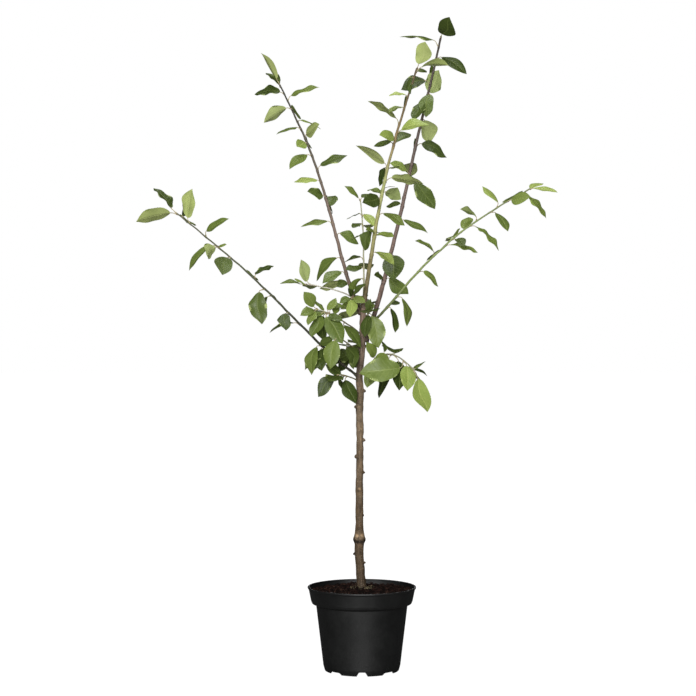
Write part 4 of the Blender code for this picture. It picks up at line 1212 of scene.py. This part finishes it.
def mass_limb(name):
    """The limb that a mass grows on: its name, its sizes, and the share of it where the mass starts."""
    if name in SPURS:
        return name, SPURS[name], 0.0
    key = name.replace("foliage", "bough")
    limb = BOUGHS[key]
    return key, limb, limb["bare"] + GAP / limb["length"]


def tree_of(part):
    """Search tree of a closed part, for telling whether two parts touch."""
    faces = [face for set_of, _ in part["faces"] for face in set_of.tolist()]
    return BVHTree.FromPolygons(part["points"].tolist(), faces)


def limb_trees():
    """Search trees of the plain tubes of the trunk, the bare boughs and the stems of the masses."""
    tubes = {"trunk": (*trunk_line(), TRUNK_TUBE_SIDES)}
    spans = [(name, limb, 0.0, limb["bare"], *BOUGH_TUBE) for name, limb in BOUGHS.items()]
    spans += [(name, *mass_limb(name)[1:], 1.0, *STEM_TUBE) for name in LEAVES]
    for name, limb, first, last, step, sides in spans:
        tubes[name] = (*limb_line(limb, first, last, step)[:2], sides)
    return {name: [tree_of(close_rings(sweep(*tube)))] for name, tube in tubes.items()}


def build_shoots(bark, bud, leaf_materials):
    """Every leafy shoot and spur; a leaf that would touch a limb or another mass is skipped."""
    taken = limb_trees()
    for number, name in enumerate(LEAVES):
        rng, look = random.Random(SEED + number), random.Random(LOOK_SEED + number)
        key, limb, first = mass_limb(name)
        path = limb_path(limb)
        others = [tree for owner, trees in taken.items() if owner != name for tree in trees]
        rows = leaf_rows(name, path, rng)
        shares = [min(max(leaf[0], first + ROOT_MARGIN), 1.0 - TIP_MARGIN) for leaf in rows]
        shoot, leaves = [shoot_part(key, limb, first, shares, look)], []
        greens = LEAF_GREENS[name] + HIDDEN_GREENS * len(rows)
        for share, leaf, green in zip(shares, rows, greens):
            parts = leaf_parts(path, share, leaf, GREEN_FINISHES[green], look)
            blade = tree_of(parts[1])
            if any(blade.overlap(tree) for tree in others):
                continue
            leaves += parts
            taken[name].append(blade)
            shoot.append(bud_part(path, share, limb_radius(limb, share), leaf[1]))
        title = name.replace("foliage_", "")
        make_piece(f"{title}_shoot", shoot, [bark, bud], [name], ("place", "tint"))
        make_piece(f"{title}_leaves", leaves, leaf_materials, [name], ("place",))


# Pot and compost

def rounded(profile, radius):
    """A polyline with its inner corners rounded: a quadratic curve between points a radius away."""
    profile = np.array(profile)
    points = [profile[0]]
    for before, corner, after in zip(profile, profile[1:], profile[2:]):
        reach = min(radius, *(np.linalg.norm(end - corner) / CORNER_SHARE for end in (before, after)))
        start, end = corner + unit(before - corner) * reach, corner + unit(after - corner) * reach
        t = np.linspace(0, 1, CORNER_STEPS + 1)[:, None]
        points += list((1 - t) ** 2 * start + 2 * t * (1 - t) * corner + t ** 2 * end)
    return np.array(points + [profile[-1]])


def inner_wall():
    """Inner skin of the pot from below the rim down to the edge of the floor."""
    rings = ((COLLAR_TOP_RADIUS, LIP_HEIGHT), (COLLAR_LOW_RADIUS, COLLAR_LOW_HEIGHT),
             (BODY_TOP_RADIUS, BODY_HEIGHT + STEP_HEIGHT), (BODY_LOW_RADIUS, POT_FLOOR))
    return [(radius - POT_WALL, height) for radius, height in rings]


def notch_parts():
    """Eight wedges that open the foot of the pot, tall and shallow ones in turn."""
    parts = []
    for k in range(NOTCH_COUNT):
        azimuth = FRONT_AZIMUTH + 360 * k / NOTCH_COUNT
        out, side = heading(azimuth, 0), heading(azimuth + 90, 0)
        low, top, tall = np.array(NOTCH_SIZES[k % 2]) * (0.5, 0.5, 1.0)
        half = ((0, NOTCH_BELOW), (low, NOTCH_BELOW), (low, 0.0), (top, tall))
        outline = [(-width, height) for width, height in half] + list(half[::-1])
        outline = rounded(outline, NOTCH_CORNER)[:-1]
        rings = np.array([out * radius + outline[:, :1] * side + outline[:, 1:] * (0, 0, 1)
                          for radius in NOTCH_RADII])
        parts.append(close_rings(rings))
    return parts


def build_pot(material):
    """Pot turned from its rounded profile, with the drain notches cut from its foot."""
    under = [(MIDDLE_FOOT_RADIUS, 0.0), (MIDDLE_FOOT_RADIUS, FLOOR_UNDERSIDE),
             (BODY_LOW_RADIUS - FOOT_WALL, FLOOR_UNDERSIDE), (FOOT_RADIUS - FOOT_WALL, 0.0)]
    outer = [(FOOT_RADIUS, 0.0), (BODY_LOW_RADIUS, FOOT_HEIGHT), (BODY_TOP_RADIUS, BODY_HEIGHT),
             (COLLAR_LOW_RADIUS - POT_WALL, BODY_HEIGHT + STEP_HEIGHT),
             (COLLAR_LOW_RADIUS, COLLAR_LOW_HEIGHT), (COLLAR_TOP_RADIUS, LIP_HEIGHT),
             (RIM_RADIUS, LIP_HEIGHT + LIP_RISE), (RIM_RADIUS, POT_HEIGHT),
             (COLLAR_TOP_RADIUS - POT_WALL, POT_HEIGHT)]
    profile = [(HUB_RADIUS, 0.0), *under, *outer, *inner_wall(), (HUB_RADIUS, POT_FLOOR)]
    rings = turned(rounded(profile, CORNER_RADIUS), POT_SEGMENTS)
    mesh = mesh_of("pot_shell", [close_rings(rings)])
    cutter = linked("notches", mesh_of("notches", notch_parts()))
    mesh = applied(mesh, ("BOOLEAN", dict(operation="DIFFERENCE", object=cutter)))
    bpy.data.objects.remove(cutter, do_unlink=True)
    make_piece("pot_shell", mesh, [material], ["pot"], crisp=35)


def compost_height(x, y, seed):
    """Height of the compost: a dish with a mound, plus ripples of three sizes."""
    base = np.interp(np.hypot(x, y), (0, MOUND_RADIUS, COMPOST_MID_RADIUS, COMPOST_EDGE_RADIUS),
                     (MOUND_HEIGHT, MOUND_HEIGHT, COMPOST_MID_HEIGHT, COMPOST_EDGE_HEIGHT))
    place = np.stack((x, y, np.zeros_like(x)), axis=-1)
    return ripples(place, COMPOST_RELIEF, random.Random(seed), start=base)


def crumb_parts(rng, edge, seed):
    """Crumbs and chips of bark: rings of a ball whose points are moved by seeded shares, then stretched."""
    shape = (CRUMB_COUNT, len(CRUMB_RINGS), CRUMB_SIDES, 1)
    latitude = np.radians(CRUMB_RINGS)
    ball = turned(np.column_stack((np.cos(latitude), np.sin(latitude))), CRUMB_SIDES)
    lumps = ball * np.reshape([rng.uniform(*CRUMB_LUMPS) for _ in range(math.prod(shape))], shape)
    sizes = [rng.uniform(*CRUMB_SIZES) for _ in range(CRUMB_COUNT)]
    parts = []
    for lump, size in zip(lumps, sizes):
        far, turn = edge * math.sqrt(rng.uniform(*CRUMB_SPREAD)), rng.uniform(0, 2 * math.pi)
        x, y = np.array([far * math.cos(turn)]), np.array([far * math.sin(turn)])
        height = compost_height(x, y, seed) + size * CRUMB_LIFT
        stretch = np.array([rng.uniform(*factors) for factors in CRUMB_STRETCH])
        parts.append(close_rings(lump * stretch * size + np.concatenate((x, y, height))))
    return parts


def fibre_parts(rng, edge, seed):
    """Fibres that lie on the compost in shallow bows; the first ones are pale and near the trunk."""
    parts = []
    t = np.linspace(-0.5, 0.5, FIBRE_STEPS)
    for k in range(FIBRE_COUNT):
        near = k < PALE_FIBRES
        far = rng.uniform(*PALE_REACH) if near else edge * math.sqrt(rng.uniform(*FIBRE_SPREAD))
        turn, lie = rng.uniform(0, 2 * math.pi), rng.uniform(0, 2 * math.pi)
        length, bow = rng.uniform(*FIBRE_LENGTHS), rng.uniform(*FIBRE_BOWS)
        sag = bow * (t ** 2 - 0.25)
        x = far * math.cos(turn) + length * (t * math.cos(lie) - sag * math.sin(lie))
        y = far * math.sin(turn) + length * (t * math.sin(lie) + sag * math.cos(lie))
        inside = edge * FIBRE_EDGE / np.maximum(np.hypot(x, y), edge * FIBRE_EDGE)
        x, y = x * inside, y * inside
        z = compost_height(x, y, seed) + rng.uniform(*FIBRE_LIFTS) * (1 - 2 * np.abs(t))
        radii = rng.uniform(*FIBRE_RADII) * np.interp(np.abs(t), (0, 0.5), (1, FIBRE_END))
        rings = sweep(np.column_stack((x, y, z)), radii, FIBRE_SIDES, guide=FIBRE_GUIDE)
        parts.append(close_rings(rings, finish=0 if near else 1))
    return parts


def build_compost(soil, crumb, fibres):
    """Loose compost: an uneven surface in the pot, with crumbs, chips of bark and fibres lying on it."""
    rng = random.Random(COMPOST_SEED)
    wall = [(radius - COMPOST_SIDE_GAP, height) for radius, height in reversed(inner_wall())]
    (low_radius, low_height), (top_radius, top_height) = wall[-2:]
    share = (COMPOST_EDGE_HEIGHT - low_height) / (top_height - low_height)
    edge = low_radius + share * (top_radius - low_radius)
    angle = ring_angles(COMPOST_SEGMENTS)
    reach = np.linspace(edge, COMPOST_HUB_RADIUS, COMPOST_RINGS)[:, None]
    x, y = reach * np.cos(angle), reach * np.sin(angle)
    seed = rng.random()
    top = np.stack((x, y, compost_height(x, y, seed)), axis=-1)
    floor = POT_FLOOR + GAP
    below = turned(np.array([(HUB_RADIUS, floor), (wall[0][0], floor), *wall[1:-1]]), COMPOST_SEGMENTS)
    fill = [close_rings(np.concatenate((below, top)))]
    make_piece("compost_fill", fill, [soil], ["compost"], crisp=60)
    make_piece("compost_crumbs", crumb_parts(rng, edge, seed), [crumb], ["compost"], crisp=30)
    make_piece("compost_fibres", fibre_parts(rng, edge, seed), fibres, ["compost"], crisp=80)


# Stage

# Stage lights: place, side length, power in watts, and whether they shine on glossy skins
LIGHTS = {
    "front": ((-0.5, -3.8, 1.7), 1.3, 142.0, True),
    "low_front": ((-0.1, -3.7, 0.45), 0.9, 54.0, True),
    "left": ((-2.6, -0.8, 1.9), 1.6, 4.0, True),
    "right": ((2.6, -0.2, 1.9), 1.6, 6.0, False),
    "top": ((0.2, -0.2, 3.4), 1.4, 52.0, True),
    "back": ((0.5, 3.6, 1.4), 1.8, 85.0, False),
    "back_shine": ((0.3, 3.8, 0.3), 0.9, 10.0, True),
}
STAGE_CENTRE = (0.0, 0.0, 0.75)
FLOOR_REACH = 40.0
FLOOR_COLOUR = (0.06, 0.06, 0.06)
FLOOR_ROUGHNESS = 0.9
FLOOR_GLOSS = 0.1
WHITE = (1.0, 1.0, 1.0)

# Strength of the white that the camera sees, of the soft light on all sides, and of what shines back
BACKDROP_GLOW = dict(seen=1.0, soft=0.17, shine=0.01)
FLOOR_GLOW = dict(seen=1.0, soft=0.14, shine=0.0)


def ray_strength(wire, glow):
    """Strength of a glow by the kind of ray that meets it: the camera's, a glossy one or any other."""
    rays = wire.add("LightPath").outputs
    seen = wire.times(rays["Is Camera Ray"], glow["seen"] - glow["soft"])
    shine = wire.times(rays["Is Glossy Ray"], glow["shine"] - glow["soft"])
    return wire.plus(wire.plus(glow["soft"], seen), shine)


def build_stage():
    """Pale floor, soft studio light and the level camera of the photograph."""
    plane = bpy.data.meshes.new("floor")
    corners = [(x * FLOOR_REACH, y * FLOOR_REACH, 0) for x, y in ((-1, -1), (1, -1), (1, 1), (-1, 1))]
    plane.from_pydata(corners, [], [(0, 1, 2, 3)])
    floor = linked("floor", plane)
    material, wire, inputs = new_material("pale_floor", FLOOR_GLOSS)
    wire.put(inputs["Base Color"], FLOOR_COLOUR)
    wire.put(inputs["Roughness"], FLOOR_ROUGHNESS)
    wire.put(inputs["Emission Color"], WHITE)
    wire.put(inputs["Emission Strength"], ray_strength(wire, FLOOR_GLOW))
    plane.materials.append(material)
    world = bpy.data.worlds.new("studio")
    world.use_nodes = True
    room, wire = world.node_tree.nodes["Background"].inputs, Wiring(world.node_tree)
    wire.put(room["Color"], WHITE)
    wire.put(room["Strength"], ray_strength(wire, BACKDROP_GLOW))
    bpy.context.scene.world = world
    # A plain display keeps the white backdrop white
    bpy.context.scene.view_settings.view_transform = "Standard"
    for name, (place, size, power, shines) in LIGHTS.items():
        lamp = bpy.data.lights.new(name, "AREA")
        lamp.energy = power
        lamp.size = size
        item = linked(name, lamp)
        item.location = place
        item.visible_glossy = shines
        item.rotation_euler = (Vector(STAGE_CENTRE) - Vector(place)).to_track_quat("-Z", "Y").to_euler()
    lens = bpy.data.cameras.new("camera")
    lens.lens = CAMERA_LENS_MM
    lens.sensor_width = SENSOR_MM
    camera = linked("camera", lens)
    camera.location = CAMERA_PLACE
    camera.rotation_euler = (math.radians(90), 0.0, 0.0)
    bpy.context.scene.camera = camera


# Bark skins: size of the grain, roughness, depth of the relief, colour of the pores, and contrast
BARK_SKINS = {
    "plum_bark": (0.0040, 0.72, 0.00035, (0.36, 0.28, 0.20)),
    "shoot_bark": (0.0022, 0.55, 0.00010, (0.36, 0.31, 0.24), 0.45),
    "bud_scales": (0.0014, 0.60, 0.00012, (0.26, 0.17, 0.11)),
}

# Leaf skins: deep and bright green, colour of the veins, roughness, depth of the relief, and gloss.  The two
# underside skins are partly the undersides' own paler green and partly painted light, made brighter to stand
# in for light shining through the leaf.
LEAF_SKINS = {
    "leaf_upper_deep": ((0.026, 0.043, 0.007), (0.064, 0.092, 0.018), (0.130, 0.165, 0.040),
                        0.42, 0.00042, 0.22),
    "leaf_upper_mid": ((0.074, 0.109, 0.019), (0.134, 0.178, 0.037), (0.210, 0.255, 0.070),
                       0.42, 0.00038, 0.28),
    "leaf_upper_fresh": ((0.145, 0.206, 0.038), (0.238, 0.300, 0.068), (0.340, 0.380, 0.110),
                         0.46, 0.00030, 0.26),
    "leaf_under_pale": ((0.228, 0.280, 0.098), (0.325, 0.378, 0.142), (0.350, 0.390, 0.160),
                        0.62, 0.00022, 0.20),
    "leaf_under_fresh": ((0.305, 0.362, 0.115), (0.400, 0.456, 0.168), (0.430, 0.470, 0.190),
                         0.60, 0.00022, 0.20),
}

# Other skins: dark and bright tone, size of the mottling, roughness, depth of the relief, gloss, and
# the place that the mottling is read from
PLAIN_SKINS = {
    "leaf_stalk": ((0.260, 0.270, 0.120), (0.360, 0.260, 0.170), 0.004, 0.50, 0.00008, 0.40, "place"),
    "compost_soil": ((0.0010, 0.0005, 0.0004), (0.0072, 0.0030, 0.0019), 0.004, 0.92, 0.0006, 0.10),
    "compost_crumb": ((0.0016, 0.0007, 0.0005), (0.022, 0.0085, 0.0058), 0.007, 0.88, 0.0003, 0.12),
    "compost_strand": ((0.110, 0.090, 0.050), (0.240, 0.200, 0.120), 0.012, 0.80, 0.0001, 0.25),
    "compost_fibre": ((0.020, 0.009, 0.006), (0.085, 0.042, 0.026), 0.012, 0.80, 0.0001, 0.25),
}


def main():
    """The stage, the skins and every piece."""
    build_stage()
    groups = dict(mottle=mottle_group(), veins=vein_group(), bark=bark_group())
    bark, shoot_bark, bud = (bark_finish(name, groups, *skin) for name, skin in BARK_SKINS.items())
    leaves = [leaf_finish(name, groups, *skin) for name, skin in LEAF_SKINS.items()]
    stalk, soil, crumb, *fibres = [plain_finish(name, groups, *skin) for name, skin in PLAIN_SKINS.items()]
    build_bark(bark)
    build_shoots(shoot_bark, bud, leaves + [stalk])
    build_pot(pot_finish(groups))
    build_compost(soil, crumb, fibres)


main()
